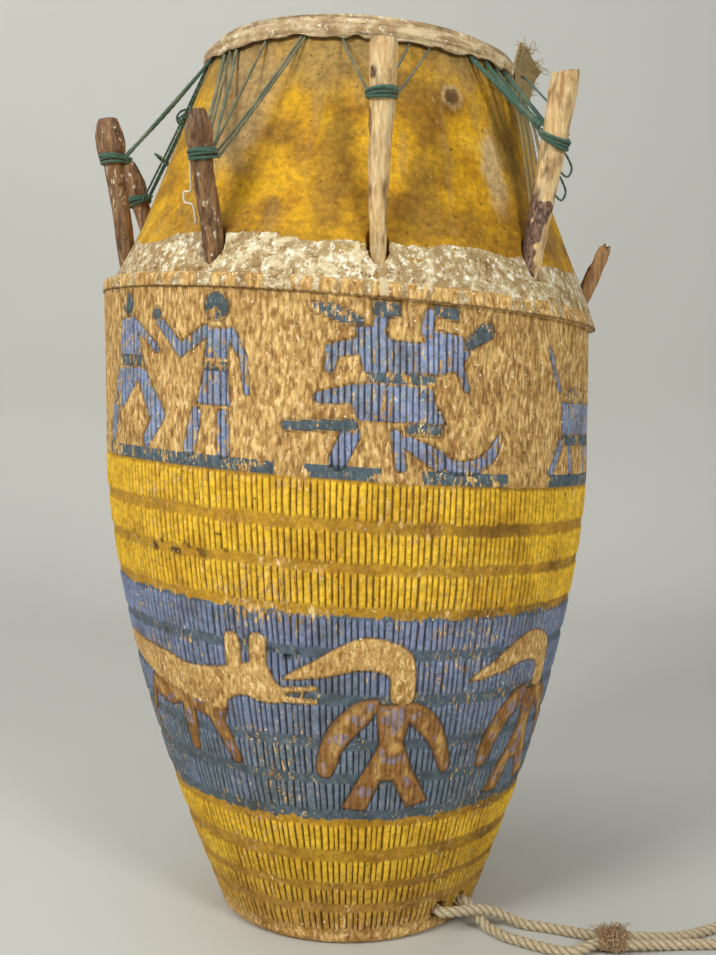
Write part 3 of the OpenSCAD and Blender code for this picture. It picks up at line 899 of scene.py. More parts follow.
def shell_rows():
    """The outer surface row by row, then the hollow. Each part is (points, tint, wear, groove, cream)."""
    azimuth = (np.arange(COLUMNS) * 360.0 / COLUMNS)[None, :]
    parts = []

    # the rounded edge of the foot, then the carved belly
    edge = np.radians(np.linspace(0, 80, 8))
    w_foot = FOOT_ROUND * (1 - np.cos(edge))
    w_belly = np.linspace(FOOT_ROUND, LIP_H - 0.3, int((LIP_H - FOOT_ROUND) / ROW_STEP))
    w = np.concatenate([w_foot, w_belly])[:, None] + 0 * azimuth
    a = azimuth + 0 * w
    x_sign = np.sin(np.radians(a))
    z = w.copy()
    for _ in range(3):
        z = w - ring_tilt(w) * belly_radius(z) * x_sign
    base = np.where(w < FOOT_ROUND, belly_radius(FOOT_ROUND) - FOOT_ROUND
                    + np.sqrt(np.clip(FOOT_ROUND ** 2 - (FOOT_ROUND - w) ** 2, 0, None)), belly_radius(z))
    cut, tint, wear, groove = carve_belly(a, w)
    wobble = 0.8 * fractal(a / 360, w / LIP_H, 9, 5, 21)
    hole = rope_hole_depth(a, z)
    calm = smooth(0, FOOT_ROUND, w)
    r = base - cut * calm + wobble * calm - hole
    # painted shade inside the rope holes
    groove = np.maximum(groove, smooth(1, 8, hole))
    points = around(a, r, z)
    parts.append((points, tint, wear, groove, 0 * w))

    # the lip and the neck, in the leaning frame
    lip_h = np.array([0, 0.4, 1.5, 3, 4.5, 6, 7.5, 8.8, 9.8, 10.8, 11.8])
    lip_r = np.array([-1.4, -0.3, 0, 0, 0, -0.1, -0.4, -1.2, -2.6, -12, -20]) + BELLY_R + LIP_PROUD
    h_neck = np.concatenate([np.arange(13, 60, 1.15), np.arange(60, NECK_H - 2, 1.9)])
    h = np.concatenate([lip_h, h_neck])[:, None] + 0 * azimuth
    a = azimuth + 0 * h
    lip = np.concatenate([lip_r, 0 * h_neck])[:, None] + 0 * azimuth
    base = np.maximum(lip, neck_radius(h, a))
    cut, tint, wear, groove, cream = carve_neck(a, h)
    pit = pit_depth(a, base, h)
    thick = 0.7 * cream * (h > LIP_T + 2)
    r = base - cut * smooth(0, 2, h) - pit + thick * (1 - smooth(0.4, 3, pit))
    # painted shade in the mouths of the peg bores
    groove = np.maximum(groove, smooth(1.5, 9, pit))
    cream = cream * (1 - 0.8 * smooth(0.5, 3.5, pit))
    parts.append((leaning(around(a, r, h)), tint, wear, groove, cream))

    # the rim, and the rough hollow down to the floor
    inner = [(RIM_R - 3, NECK_H - 0.6), (RIM_R - 8, NECK_H), (RIM_R - RIM_WALL + 3, NECK_H),
             (RIM_R - RIM_WALL, NECK_H - 4)]
    inner += [(r_at, h_at) for r_at, h_at in zip(np.linspace(99, LEDGE_R, 10), np.linspace(178, 30, 10))]
    inner += [(LEDGE_R, 0.0), (LEDGE_R, -14.0)]
    inner = np.array(inner)
    a = azimuth + 0 * inner[:, :1]
    rough = 1.2 * fractal(a / 360, inner[:, 1:] / NECK_H + 0 * a, 40, 8, 81)
    rough[:4] *= 0.2
    upper = leaning(around(a, inner[:, :1] + rough, inner[:, 1:] + 0 * a))
    deep_z = np.linspace(420, FLOOR_T + 14, 24)
    deep_r = np.minimum(belly_radius(deep_z) - WALL, BELLY_R - WALL)
    deep = np.array([*zip(deep_r, deep_z), (float(belly_radius(FLOOR_T)) - WALL - 16, FLOOR_T + 0.5)])
    a = azimuth + 0 * deep[:, :1]
    rough = 1.5 * fractal(a / 360, deep[:, 1:] / LIP_H + 0 * a, 50, 12, 85)
    lower = around(a, deep[:, :1] + rough, deep[:, 1:] + 0 * a)
    hollow = np.concatenate([upper, lower])
    shape = hollow.shape[:2]
    plain = np.empty(shape + (3,))
    plain[:] = TAN_DARK
    # the hollow's groove of 0.3 darkens all of it a little, painted shade inside the drum
    parts.append((hollow, plain, np.ones(shape), np.full(shape, 0.3), np.zeros(shape)))
    return parts


def with_ends(values, low, high):
    """A grid's values in one row, followed by those of the two points that close it."""
    return np.concatenate([values.reshape(-1), [low, high]])


def grid_uv(rows, columns):
    """One loop UV for each corner of grid_faces, unrolled with no overlap."""
    r, c = np.meshgrid(np.arange(rows - 1), np.arange(columns), indexing="ij")
    corners = [(c, r), (c + 1, r), (c + 1, r + 1), (c, r + 1)]
    return np.stack([np.stack([0.005 + 0.99 * u / columns, 0.12 + 0.875 * v / rows], -1)
                     for u, v in corners], -2).reshape(-1, 2)


def disc_uv(columns, cx, cy, upwards):
    """One loop UV for each corner of cap_faces, as a small disc."""
    c = np.arange(columns)
    order = (c, c + 1) if upwards else (c + 1, c)
    turned = [2 * np.pi * k / columns for k in order]
    ring = [np.stack([cx + 0.05 * np.cos(a), cy + 0.05 * np.sin(a)], -1) for a in turned]
    return np.stack(ring + [np.tile([cx, cy], (columns, 1))], 1).reshape(-1, 2)


def build_shell(material):
    parts = shell_rows()
    points, tint, wear, groove, cream = [np.concatenate([p[k] for p in parts]) for k in range(5)]
    rows = len(points)
    ends = np.array([[0, 0, 0.0], [0, 0, FLOOR_T]])
    uv = np.concatenate([grid_uv(rows, COLUMNS), disc_uv(COLUMNS, 0.06, 0.055, False),
                         disc_uv(COLUMNS, 0.2, 0.055, True)])
    # the fan centres under the foot and on the hollow's floor take groove 0.3, the same painted shade
    obj = mesh_object(
        "carved_shell", np.concatenate([points.reshape(-1, 3), ends]), closed_faces(rows, COLUMNS), uv=uv,
        attributes={"tint": np.concatenate([tint.reshape(-1, 3), [TAN_DARK, TAN_DARK]]),
                    "wear": with_ends(wear, 1.0, 1.0), "groove": with_ends(groove, 0.3, 0.3),
                    "cream": with_ends(cream, 0.0, 0.0)})
    dress(obj, material, "carved_wood", "root", "shell")


def dress(obj, material, slot, body, *nodes):
    """Material, the body it rides and the CAD nodes it stands for; slot is not used."""
    obj.data.materials.append(material)
    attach(obj, body)
    if nodes:
        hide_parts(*nodes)


def span(obj, material, slot, body, start, end, *nodes):
    """As dress, but the piece is baked in place and rides no body; slot, body, start and end are not used."""
    obj.data.materials.append(material)
    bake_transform(obj)
    if nodes:
        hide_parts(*nodes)


# ---------------------------------------------------------------- the skin head

LAP_H, LAP_EDGE_H = 176.6, 173.6       # where the lap leaves the hoop, and its edge before it is torn


def build_skin(material):
    """A thick dry skin over the rim, turned down over the hoop to a torn edge."""
    columns = 900
    azimuth = np.arange(columns) * 360.0 / columns
    u = azimuth / 360
    torn = 2.4 * fractal(u, 0 * u, 26, 1, 101, 4) + 1.4 * noise(u, 0 * u, 120, 1, 102)
    pulled = np.zeros(columns)
    for k in LACED:
        for offset in (-9, 0, 9):
            pulled += 1.6 * np.exp(-(degrees_from(azimuth, PEGS[k].azimuth + offset) / 3.2) ** 2)
    low = LAP_EDGE_H + torn + pulled
    top = [(8, 193.9), (30, 193.8), (60, 193.7), (84, 193.6), (98, 193.7), (106, 193.8), (110, 193.5),
           (112.6, 192.6), (114.2, 191.0), (115.4, 188.6), (117.4, 186.4), (120.6, 184.2), (122.6, 181.8),
           (123.2, 179.6), (122.6, 177.6)]
    rows = [np.stack([np.full(columns, r), np.full(columns, h)], -1) for r, h in top]
    for t in (0.35, 0.7, 0.93, 1.0):
        h = LAP_H + (low - LAP_H) * t
        rows.append(np.stack([neck_radius(h) + 4.6 - 1.2 * t, h], -1))
    rows.append(np.stack([neck_radius(low) + 1.6, low + 0.3], -1))
    for h_in, r_in in ((177.2, 119.3), (179.5, 121.9), (182.2, 121.2), (184.0, 118.4), (188.0, 114.4),
                       (191.0, 111.8), (192.3, 108.0), (192.3, 60.0), (192.3, 8.0)):
        rows.append(np.stack([np.full(columns, r_in), np.full(columns, h_in)], -1))
    coarse = np.array(rows)
    at = np.linspace(0, len(coarse) - 1.001, 3 * len(coarse))
    part = (at % 1)[:, None, None]
    profile = coarse[at.astype(int)] * (1 - part) + coarse[at.astype(int) + 1] * part
    a = azimuth[None, :] + np.zeros(profile.shape[:2])
    v = np.arange(len(profile))[:, None] / len(profile) + 0 * a
    lumpy = 0.5 * fractal(a / 360, v, 50, 24, 103, 3) + 0.5 * fractal(a / 360, v, 14, 40, 104, 2)
    outer = (at < len(top) + 3)[:, None] & (profile[..., 0] > 100)
    r = profile[..., 0] + np.where(outer, lumpy, 0)
    h = profile[..., 1] + np.where(profile[..., 0] < 108, 0.35 * fractal(a / 360, v, 12, 4, 105), 0.3 * lumpy)
    points = leaning(around(a, r, h)).reshape(-1, 3)
    count = len(profile)
    # rows run from the middle outwards and back in, so the grid is turned inside out
    faces = [grid_faces(count, columns)[:, ::-1],
             np.concatenate([cap_faces(0, columns, len(points), True),
                             cap_faces(len(points) - columns, columns, len(points) + 1, False)])]
    # crease: painted shade in the dips of the lumpy skin and on the lap's underside; the lap also darkens
    # from half way down towards its torn edge
    crease = np.clip(np.where(outer, -1.6 * lumpy, 0) + smooth(0.5, 0.62, v) * (profile[..., 0] > 100), 0, 1)
    ends = leaning([[0, 0, 193.9], [0, 0, 192.3]])
    obj = mesh_object("skin_head", np.concatenate([points, ends]), faces,
                      attributes={"groove": with_ends(crease, 0, 0)})
    dress(obj, material, "skin", "root", "drumhead")


# ---------------------------------------------------------------- pegs

# Profiles as (height along the peg, radius); heights above zero are out of the neck.
PROFILES = {
    1: [(-66, 5.2), (-56, 6.4), (0, 6.4), (58, 6.6), (73, 7.2), (77, 8.6), (80, 10.0), (86, 10.4), (93, 10.0),
        (102, 7.6), (104, 6.6)],
    2: [(-66, 5.4), (-56, 6.9), (0, 6.9), (56, 7.2), (66, 7.6), (70, 8.6), (78, 9.1), (82, 8.8), (91, 5.4),
        (92, 4.6)],
    3: [(-66, 3.8), (-56, 5.2), (0, 5.1), (24, 5.4), (60, 6.8), (100, 8.0), (132, 8.9), (136, 8.2)],
    4: [(-66, 4.9), (-56, 6.4), (0, 6.6), (40, 7.4), (54, 7.9), (58, 7.6), (95, 8.8), (128, 9.4), (137, 9.3),
        (140, 8.2)],
    6: [(-66, 4.9), (-56, 6.4), (0, 6.5), (60, 7.2), (104, 8.7), (112, 6.8)],
    7: [(-66, 4.9), (-56, 6.4), (0, 6.5), (66, 7.0), (78, 8.2), (90, 8.2), (98, 5.6)],
    8: [(-66, 4.5), (-56, 5.9), (0, 6.0), (60, 7.0), (114, 8.6), (122, 7.0)],
    9: [(-66, 4.9), (-56, 6.4), (0, 6.5), (64, 7.0), (74, 8.8), (84, 9.2), (96, 7.2), (100, 6.0)]}
# How many whittled facets a head has, and from what height up; none is a plain branch.
FACETS = {1: (8, 74), 2: (6, 67), 6: (7, 98), 7: (6, 74), 9: (7, 70)}
BARKED = {3: 0.12, 4: 0.75, 6: 0.4, 8: 0.5}     # how much bark is left on a peg
DARK = (1, 2, 7, 9)                             # pegs of dark wood
# Cut side twigs, as (height, angle round the peg, length, radius).
TWIGS = {1: (56, 0.3, 1.6, 2.6), 4: (98, -0.2, 2.4, 1.8), 8: (50, 2.5, 3.0, 2.2)}


def peg_radius(number, z):
    heights, radii = zip(*PROFILES[number])
    return np.interp(z, heights, radii)


def peg_parts(number):
    """One whittled peg in its own frame, with its groove and bark attributes."""
    columns = 64
    profile = PROFILES[number]
    z = np.concatenate([np.linspace(profile[0][0], 0, 10)[:-1], np.arange(0, profile[-1][0], 0.9),
                        [profile[-1][0]]])
    angle = full_turn(columns)
    u, v = (angle / (2 * math.pi))[None, :] + 0 * z[:, None], (z / 150)[:, None] + 0 * angle[None, :]
    v = np.clip(v, 0, 1)
    r = peg_radius(number, z)[:, None] + 0 * u
    if number in FACETS:
        count, start = FACETS[number]
        step = 2 * math.pi / count
        turn = angle + 0.35 * number
        flat = math.cos(step / 2) / np.cos(np.mod(turn, step) - step / 2)
        strength = smooth(start - 2, start + 5, z)[:, None]
        r = r * (1 + strength * (1.05 * flat[None, :] - 1))
    grain = fractal(u, v, 14, 10, 300 + number, 3)
    out = smooth(0, 6, z)[:, None]
    r = r + out * (0.5 * fractal(u, v, 5, 12, 320 + number, 3) + 0.22 * grain)
    bark = np.zeros(r.shape)
    if number in BARKED:
        patchy = fractal(u, v, 4, 9, 340 + number, 3) + 0.5 * np.cos(2 * math.pi * (u - 0.45))
        height = smooth(78, 52, z)[:, None] if number == 4 else 1.0
        bark = smooth(0.75 - BARKED[number], 0.85 - BARKED[number], patchy * height)
        r = r + 0.55 * bark * out
    bend = 1.1 * np.sin(z / 24.0 + number)
    sway = (smooth(0, 50, z) * smooth(200, 60, z) * bend)[:, None]
    points = np.stack([r * np.cos(angle) + sway, r * np.sin(angle) + 0.6 * sway, z[:, None] + 0 * r], -1)
    if number == 4:
        points[-3:, :, 2] += 2.4 * np.cos(angle + 0.6) * np.array([[0.4], [0.8], [1.0]])
    points = points.reshape(-1, 3)
    points = np.concatenate([points, [[0, 0, z[0]]], [points[-columns:].mean(0) + [0, 0, 0.5]]])
    cracks = np.clip(-1.3 * grain, 0, 1) * np.ones(r.shape)
    cracks[-2:] = np.maximum(cracks[-2:], 0.35)
    return points, closed_faces(len(z), columns), with_ends(cracks, 0.0, 0.3), with_ends(bark, 0.0, 0.3)


def split_stub():
    """The broken fifth peg: a shank whose end has split into a tall and a short slab."""
    top = PEGS[5].length
    columns, parts, groove = 40, [], []
    angle = full_turn(columns)
    for side, tip, turn, wide in ((-1, top, 0.1, 5.2), (1, top - 16, -0.15, 4.6)):
        z = np.concatenate([[-66, -56], np.linspace(-40, tip, 60)])
        t = smooth(-4, 14, z)
        u, v = (angle / (2 * math.pi))[None, :] + 0 * z[:, None], np.clip(z / 60, 0, 1)[:, None] + 0 * angle
        rough = 1 + 0.10 * fractal(u, v, 8, 14, 360 + side, 3)
        thin = np.interp(z, [-66, -56, 0, tip - 8, tip], [3.4, 4.6, 4.6, 2.9, 1.6])[:, None]
        broad = np.interp(z, [-66, -56, 0, tip - 6, tip], [4.0, 5.1, 5.1, wide, wide * 0.6])[:, None]
        x = side * (0.4 + 2.6 * t)[:, None] + (thin - 1.6 * t[:, None]) * np.cos(angle + turn) * rough
        y = (0.6 * side * t)[:, None] + broad * np.sin(angle + turn) * rough
        top_ragged = (z[:, None] > tip - 3) * 2.2 * np.cos(3 * angle + side)
        grid = np.stack([x, y, z[:, None] + top_ragged - (z[:, None] > tip - 3) * 2.2], -1).reshape(-1, 3)
        ends = np.array([[side * 0.4, 0, z[0]], grid[-columns:].mean(0)])
        parts.append((np.concatenate([grid, ends]), closed_faces(len(z), columns)))
        # painted shade: the short slab's face towards the tall one is darkened, and so are the dips in both
        # slabs' rough faces
        split_face = 0.4 * (side > 0) * (np.cos(angle) < 0)
        groove.append(with_ends(np.clip(split_face + 0 * x - 3 * (rough - 1), 0, 1), 0, 0))
    points, faces = join(parts)
    return points, faces, np.concatenate(groove), np.zeros(len(points))


def twig(peg, at, turn, length, r):
    """A cut side twig on a peg, at a height and an angle round it."""
    root = float(peg_radius(peg.number, at))
    d = np.array([math.cos(turn), math.sin(turn), 0.35])
    path = np.array([[0, 0, at]]) + np.outer(np.linspace(root - 3, root + length, 5), d)
    return tube(path, r, 14, roughen=0.12, seed=7)


def build_peg(number, material, slot):
    peg = PEGS[number]
    points, faces, groove, bark = split_stub() if number == 5 else peg_parts(number)
    if number in TWIGS:
        extra, extra_faces = twig(peg, *TWIGS[number])
        points, faces = join([(points, faces), (extra, extra_faces)])
        groove = np.concatenate([groove, np.full(len(extra), 0.2)])
        bark = np.concatenate([bark, np.full(len(extra), 0.3)])
    obj = mesh_object("whittled_" + peg.name, peg.place(points), faces,
                      attributes={"groove": groove, "bark": bark})
    dress(obj, material, slot, peg.name, peg.name)


# ---------------------------------------------------------------- cords

THIN, THICK = 0.95, 1.35            # radius of a strand; those of the first peg are thick
TURN_R = 1.12                       # radius of the cord wound round a peg
DOUBLED = (2, 4, 7)                 # pegs where every other strand has a second one beside it
UNDER_SKIN_H, SKIN_EDGE_H = 178.0, 173.5
WRAP_SLOPE = {1: 0.16, 2: 0.12, 3: 0.10, 4: -0.38, 6: 0.1, 7: -0.1, 8: 0.15, 9: 0.1}
# Where each peg's strands go under the skin: azimuths counted from the peg.
FANS = {1: [3.0, 6.0], 2: [-24.5, -20.5, -17.0, -3.5, 9.5, 11.0], 3: [-13.5, 7.5, 14.5],
        4: [-8.5, -6.0, -1.5, 4.0, 9.0], 6: [-10, -6, 6, 10], 7: [-12, -3, 8, 12], 8: [-9, -4, 8],
        9: [24.0, 27.0, 33.0]}


def laid_cord(path, radius):
    return tube(path, radius, 10, lobes=2, twist=0.55, lobe_depth=0.30)


def wrap_radius(number):
    return float(peg_radius(number, PEGS[number].wrap_at)) + 1.15


# The turns round a peg, as (lift along the peg, how far the turn stands off it).
WRAP_TURNS = ((-2.3, 0.0), (-0.2, 0.175), (1.9, 0.0), (0.8, 0.7))


def build_wrap(number, material):
    """Turns of cord round a peg, with the odd crossing turn and a knot on the drum's side."""
    peg = PEGS[number]
    r, slope = wrap_radius(number), WRAP_SLOPE[number]
    rows = []
    t = np.linspace(0.25, 2 * math.pi + 0.1, 60) + math.pi / 2
    for k, (lift, off) in enumerate(WRAP_TURNS):
        z = peg.wrap_at + lift + 0.9 * np.sin(t + k) - slope * r * np.sin(t)
        turn = np.stack([(r + off) * np.cos(t), (r + off) * np.sin(t), z], -1)
        rows.append(laid_cord(peg.place(turn), TURN_R))
    rows.append(knot(peg.place([0.5, r + 1.2, peg.wrap_at - slope * r]), 2.2, number))
    dress(mesh_object("cord_turns_%d" % number, *join(rows)), material, "cord", peg.name,
          "cord_wrap_%d" % number)


def knot(centre, size, seed):
    """A small tangle of cord."""
    rng = np.random.default_rng(900 + seed)
    t = np.linspace(0, 2 * math.pi, 50)
    p, q, s = rng.uniform(0, 6, 3)
    path = np.stack([np.sin(2 * t + p), np.sin(3 * t + q), 0.8 * np.cos(2 * t + s)], -1) * size
    return laid_cord(np.asarray(centre) + path, THIN)


def strand_path(peg, offset, k, count):
    """From the peg's turns to a place under the skin, sagging a little."""
    side = (k - (count - 1) / 2) / max(count - 1, 1)
    r = wrap_radius(peg.number)
    slope = WRAP_SLOPE[peg.number]
    start = peg.place([2 * side * r * 0.8, r * math.cos(side * 1.4) * 0.9 + 0.4,
                       peg.wrap_at + 2.6 * math.sin(2.1 * k + 1) - slope * r])
    end = on_neck(peg.azimuth + offset, UNDER_SKIN_H, 1.6)
    lip = on_neck(peg.azimuth + offset, SKIN_EDGE_H, 1.9)
    middle = 0.5 * (start + lip) + np.array([0, 0, -1.2 - 1.3 * math.sin(3.3 * k + peg.number)])
    return spline([start, middle, lip, end], 2.0), lip, start


def build_strands(number, material):
    peg = PEGS[number]
    offsets = FANS[number]
    rows, lips, starts = [], [], []
    for k, offset in enumerate(offsets):
        path, lip, start = strand_path(peg, offset, k, len(offsets))
        rows.append(laid_cord(path, THICK if number == 1 else THIN))
        lips.append(lip)
        starts.append(start)
        if number in DOUBLED and k % 2 == 0:
            rows.append(laid_cord(path + np.array([0.9, 0.6, 1.1]), THIN))
    if number == 9:
        for share in (0.30, 0.66):
            centre = starts[1] + (lips[1] - starts[1]) * share + np.array([0, -2, 1.5])
            rows.append(knot(centre, 6.0, 40 + int(9 * share)))
    if number == 4:
        loose = [peg.place([-2, 6.5, 118]), on_neck(66, 176, 9), on_neck(64, 177, 3)]
        rows.append(laid_cord(spline(loose, 2.0), 0.8))
    obj = mesh_object("cord_strands_%d_laid" % number, *join(rows))
    span(obj, material, "cord", peg.name, np.mean(lips, 0), np.mean(starts, 0), "cord_strands_%d" % number)


def build_tails(material, thread_material):
    """Loose ends: two loops on the fourth peg, and a pale thread on the second."""
    peg = PEGS[4]
    r = float(peg_radius(4, 75.0))
    rows = []
    for top, low, wide in ((93, 75, 15), (77, 59, 13)):
        loop = [[r - 1, -1, top], [r + wide * 0.55, -2, top - 6], [r + wide, -2, low + 6],
                [r + wide * 0.75, -2, low], [r + 1, -1, low + 3], [r - 2, 1, low + 5]]
        rows.append(laid_cord(spline(peg.place(loop), 1.2), 0.8))
    dress(mesh_object("cord_loops", *join(rows)), material, "cord", peg.name)
    peg = PEGS[2]
    r = wrap_radius(2)
    z = peg.wrap_at
    path = [[-r, -2, z], [-r - 1.2, -2.5, z - 12], [-r - 2.2, -3, z - 22], [-r - 7.5, -3.5, z - 23],
            [-r - 8, -3.5, z - 29], [-r - 2.5, -3, z - 31], [-r - 1.2, -3, z - 36], [-r - 1.5, -3, z - 43]]
    points, faces = tube(spline(peg.place(path), 1.0), 0.8, 7, lobes=2, twist=0.9, lobe_depth=0.3)
    dress(mesh_object("pale_thread", points, faces), thread_material, "cord", peg.name)


def build_tan_strands(material):
    """Old tan strands that run from under the sacking to low on the fourth peg."""
    peg = PEGS[4]
    rows, tops, feet = [], [], []
    for k, azimuth in enumerate((58.0, 60.5, 63.0, 66.0)):
        top = on_neck(azimuth, 172.0, 3.0)
        foot = peg.place([1.5 * k - 2.0, 7.6, 52.0 + 9 * k])
        middle = 0.5 * (top + foot) + leaning(around(azimuth, 2.0, 0)) - leaning([0, 0, 0])
        rows.append(laid_cord(spline([on_neck(azimuth, 178, 2.0), top, middle, foot], 2.0), 1.2))
        tops.append(top)
        feet.append(foot)
    obj = mesh_object("tan_strands", *join(rows))
    span(obj, material, "cord", peg.name, np.mean(tops, 0), np.mean(feet, 0))


# ---------------------------------------------------------------- sacking

def sacking_point(s, t):
    """A point on the folded scrap: s from 0 to 1 along it, t from 0 at its foot to 1 at its top."""
    azimuth = 61 + 19 * s
    high = max(t, 0.0)
    h = 167.5 + (25 + 5 * math.sin(5 * s + 0.6)) * t
    flare = 4.2 + 4.0 * high ** 1.6 + 11.0 * s ** 1.4 * high + 1.3 * math.sin(9 * s + 2.2 * t)
    return leaning(around(azimuth, float(neck_radius(min(h, 184.0))) + flare, h))


def woven_thread(points, phase, rng, seed):
    """One thread of the weave, over and under those that it crosses."""
    path = np.array(points)
    wave = 0.42 * (-1.0) ** (np.arange(len(path)) + phase)
    path = path + wave[:, None] * unit(path * [1, 1, 0])
    return tube(path + rng.normal(0, 0.12, path.shape), 0.62, 6, roughen=0.12, seed=seed)


def build_sacking(material):
    """Loose plain weave, thread by thread, with frayed ends."""
    rng = np.random.default_rng(55)
    rows = []
    across, up = 34, 17
    for i in range(up + 1):
        points = [sacking_point(s, i / up) for s in np.linspace(0, 1, 2 * across + 1)]
        rows.append(woven_thread(points, i, rng, i))
    for j in range(across + 1):
        reach = 1.0 + 0.10 * rng.uniform(-0.6, 1)
        points = [sacking_point(j / across, t) for t in np.linspace(-0.03, reach, 2 * up + 1)]
        rows.append(woven_thread(points, j + 1, rng, 90 + j))
    for _ in range(46):
        s, edge = rng.uniform(0, 1), rng.uniform(0, 1)
        start = sacking_point(s, 1.0) if edge > 0.35 else sacking_point(1.0 if edge > 0.15 else 0.0, s)
        drift = rng.normal(0, 1, 3) * [2.6, 2.6, 2.2] + np.array([1.6, 0, 2.4])
        curl = rng.normal(0, 1, 3) * 2.4
        rows.append(tube(spline([start, start + drift * 0.6, start + drift + curl], 1.0), 0.26, 5))
    dress(mesh_object("sacking_scrap", *join(rows)), material, "sacking", "root", "burlap_shim")


# ---------------------------------------------------------------- carrying rope

LAY = 0.34              # turns of the rope's lay, in radians per millimetre
UP = np.array([0.0, 0.0, 1.0])
CROSSING_H = 7.2        # height of the rope's middle where its two strands are bound together


def rope_mouth(side, r):
    """A point on the middle of the rope, at one hole: side is -1 or 1."""
    a = math.radians(ROPE_AZ)
    x, y = side * ROPE_SPREAD, -r
    return np.array([x * math.cos(a) - y * math.sin(a), x * math.sin(a) + y * math.cos(a), ROPE_H])


def build_rope(material):
    """One loop of three-strand rope, out of the first hole, along the floor and back."""
    ground = ROPE_R + 0.4
    loop = [rope_mouth(-1, 98.0), rope_mouth(-1, 106.0), rope_mouth(-1, 113.0), (104, -76, 15.5),
            (132, -75, ground), (164, -87, ground), (180, -98.5, CROSSING_H), (202, -101.2, CROSSING_H),
            (242, -95, ground), (285, -76, ground), (318, -74, ground), (330, -88, ground),
            (312, -103, ground), (239, -107, ground), (202, -113.4, CROSSING_H), (180, -110.8, CROSSING_H),
            (156, -118, ground), (120, -98, ground), (104, -80, ground),
            rope_mouth(1, 114.0), rope_mouth(1, 106.0), rope_mouth(1, 98.0)]
    path = spline(loop, 0.9)
    path[:, 2] = np.maximum(path[:, 2], ROPE_R + 0.1)
    sides = 24
    points, faces = tube(path, ROPE_R, sides, lobes=3, twist=LAY, lobe_depth=0.34, roughen=0.015)
    # painted shade in the lay: groove darkens the rope where its surface dips between the strands
    middles = np.concatenate([np.repeat(path, sides, axis=0), path[:1], path[-1:]])
    out = np.linalg.norm(points - middles, axis=1) / ROPE_R
    obj = mesh_object("laid_rope", points, faces, attributes={"groove": 0.8 * smooth(0.90, 0.74, out)})
    start = 0.5 * (rope_mouth(-1, 111.0) + rope_mouth(1, 111.0))
    span(obj, material, "rope", "rope", start, start + around(ROPE_AZ, 14.0, 0.0), "tie_rope", "rope_anchor")


def build_binding(material):
    """Brown fibre bound round both strands, with stray tufts."""
    rng = np.random.default_rng(77)
    heading = math.radians(-7)
    along = np.array([math.cos(heading), math.sin(heading), 0])
    across = np.array([-math.sin(heading), math.cos(heading), 0])
    centre = np.array([191.0, -106.0, CROSSING_H])
    rows = []
    for k in range(26):
        t = np.linspace(0, 2 * math.pi, 40)
        middle = rng.uniform(-10, 10)
        shift = middle + rng.uniform(-4, 4) * np.cos(t + rng.uniform(0, 6))
        wide, tall = 10.9 + rng.uniform(-0.4, 1.4), 4.9 + rng.uniform(-0.3, 1.1)
        ring = (centre + shift[:, None] * along + (wide * np.cos(t))[:, None] * across
                + (tall * np.sin(t))[:, None] * UP)
        ring[:, 2] = np.maximum(ring[:, 2], 0.9)
        rows.append(tube(ring, rng.uniform(0.4, 0.8), 6, roughen=0.1, seed=k))
    for _ in range(150):
        angle = rng.uniform(-0.3, math.pi + 0.3)
        start = centre + rng.uniform(-9, 9) * along + 10.5 * math.cos(angle) * across
        start = start + 5.0 * math.sin(angle) * UP
        away = math.cos(angle) * across * rng.uniform(2, 8) + along * rng.normal(0, 5)
        end = start + away + rng.uniform(0.5, 7) * max(math.sin(angle), 0.1) * UP
        end[2] = max(end[2], 0.8)
        middle = 0.5 * (start + end) + rng.normal(0, 1.4, 3)
        middle[2] = max(middle[2], 0.8)
        hair = spline([start, middle, end], 1.5)
        hair[:, 2] = np.maximum(hair[:, 2], 0.5)
        rows.append(tube(hair, rng.uniform(0.16, 0.32), 5))
    dress(mesh_object("fibre_binding", *join(rows)), material, "binding", "rope", "whipping")


# ---------------------------------------------------------------- put together

GREEN = (srgb(78, 116, 96), srgb(38, 64, 54), srgb(112, 118, 92))
FADED = (srgb(112, 118, 92), srgb(66, 76, 58), srgb(142, 134, 100))

build_shell(carved_wood())
build_skin(hide())
cane = peg_wood("cane", srgb(190, 150, 90), srgb(120, 84, 46), srgb(90, 60, 34), 0.1)
frame["nodes"]["hoop"].data.materials.clear()
frame["nodes"]["hoop"].data.materials.append(cane)

woods = {
    "dark_peg": peg_wood("dark_peg", srgb(164, 126, 84), srgb(92, 60, 36), srgb(58, 38, 26), 0.9),
    "pale_peg": peg_wood("pale_peg", srgb(236, 212, 160), srgb(196, 152, 92), srgb(150, 108, 62), 0.5),
    "split_peg": peg_wood("split_peg", srgb(192, 150, 98), srgb(128, 90, 52), srgb(86, 58, 36), 0.4)}
for number in PEGS:
    slot = "split_peg" if number == 5 else "dark_peg" if number in DARK else "pale_peg"
    build_peg(number, woods[slot], slot)

green_cord = twisted_fibre("green_cord", *GREEN)
faded_cord = twisted_fibre("faded_cord", *FADED)
tan_cord = twisted_fibre("tan_cord", srgb(176, 160, 112), srgb(112, 98, 62), srgb(140, 128, 92))
pale_thread = twisted_fibre("pale_thread", srgb(236, 230, 204), srgb(200, 190, 160), srgb(214, 206, 178))
for number in LACED:
    build_wrap(number, green_cord)
    build_strands(number, faded_cord if number in (2, 3) else green_cord)
build_tails(green_cord, pale_thread)
build_tan_strands(tan_cord)
build_sacking(twisted_fibre("sacking", srgb(196, 172, 114), srgb(116, 94, 52), srgb(140, 118, 70), 0.5))
build_rope(twisted_fibre("rope", srgb(214, 200, 168), srgb(160, 140, 104), srgb(184, 164, 128), 0.9))
build_binding(twisted_fibre("binding", srgb(196, 170, 128), srgb(116, 80, 46), srgb(150, 108, 62), 1.2))


# ---------------------------------------------------------------- floor, light and camera

CAMERA_AT = (0.0083, -0.9146, 0.3967)       # metres
CAMERA_LENS, CAMERA_DIP = 43.88, 4.06       # millimetres, and degrees below level


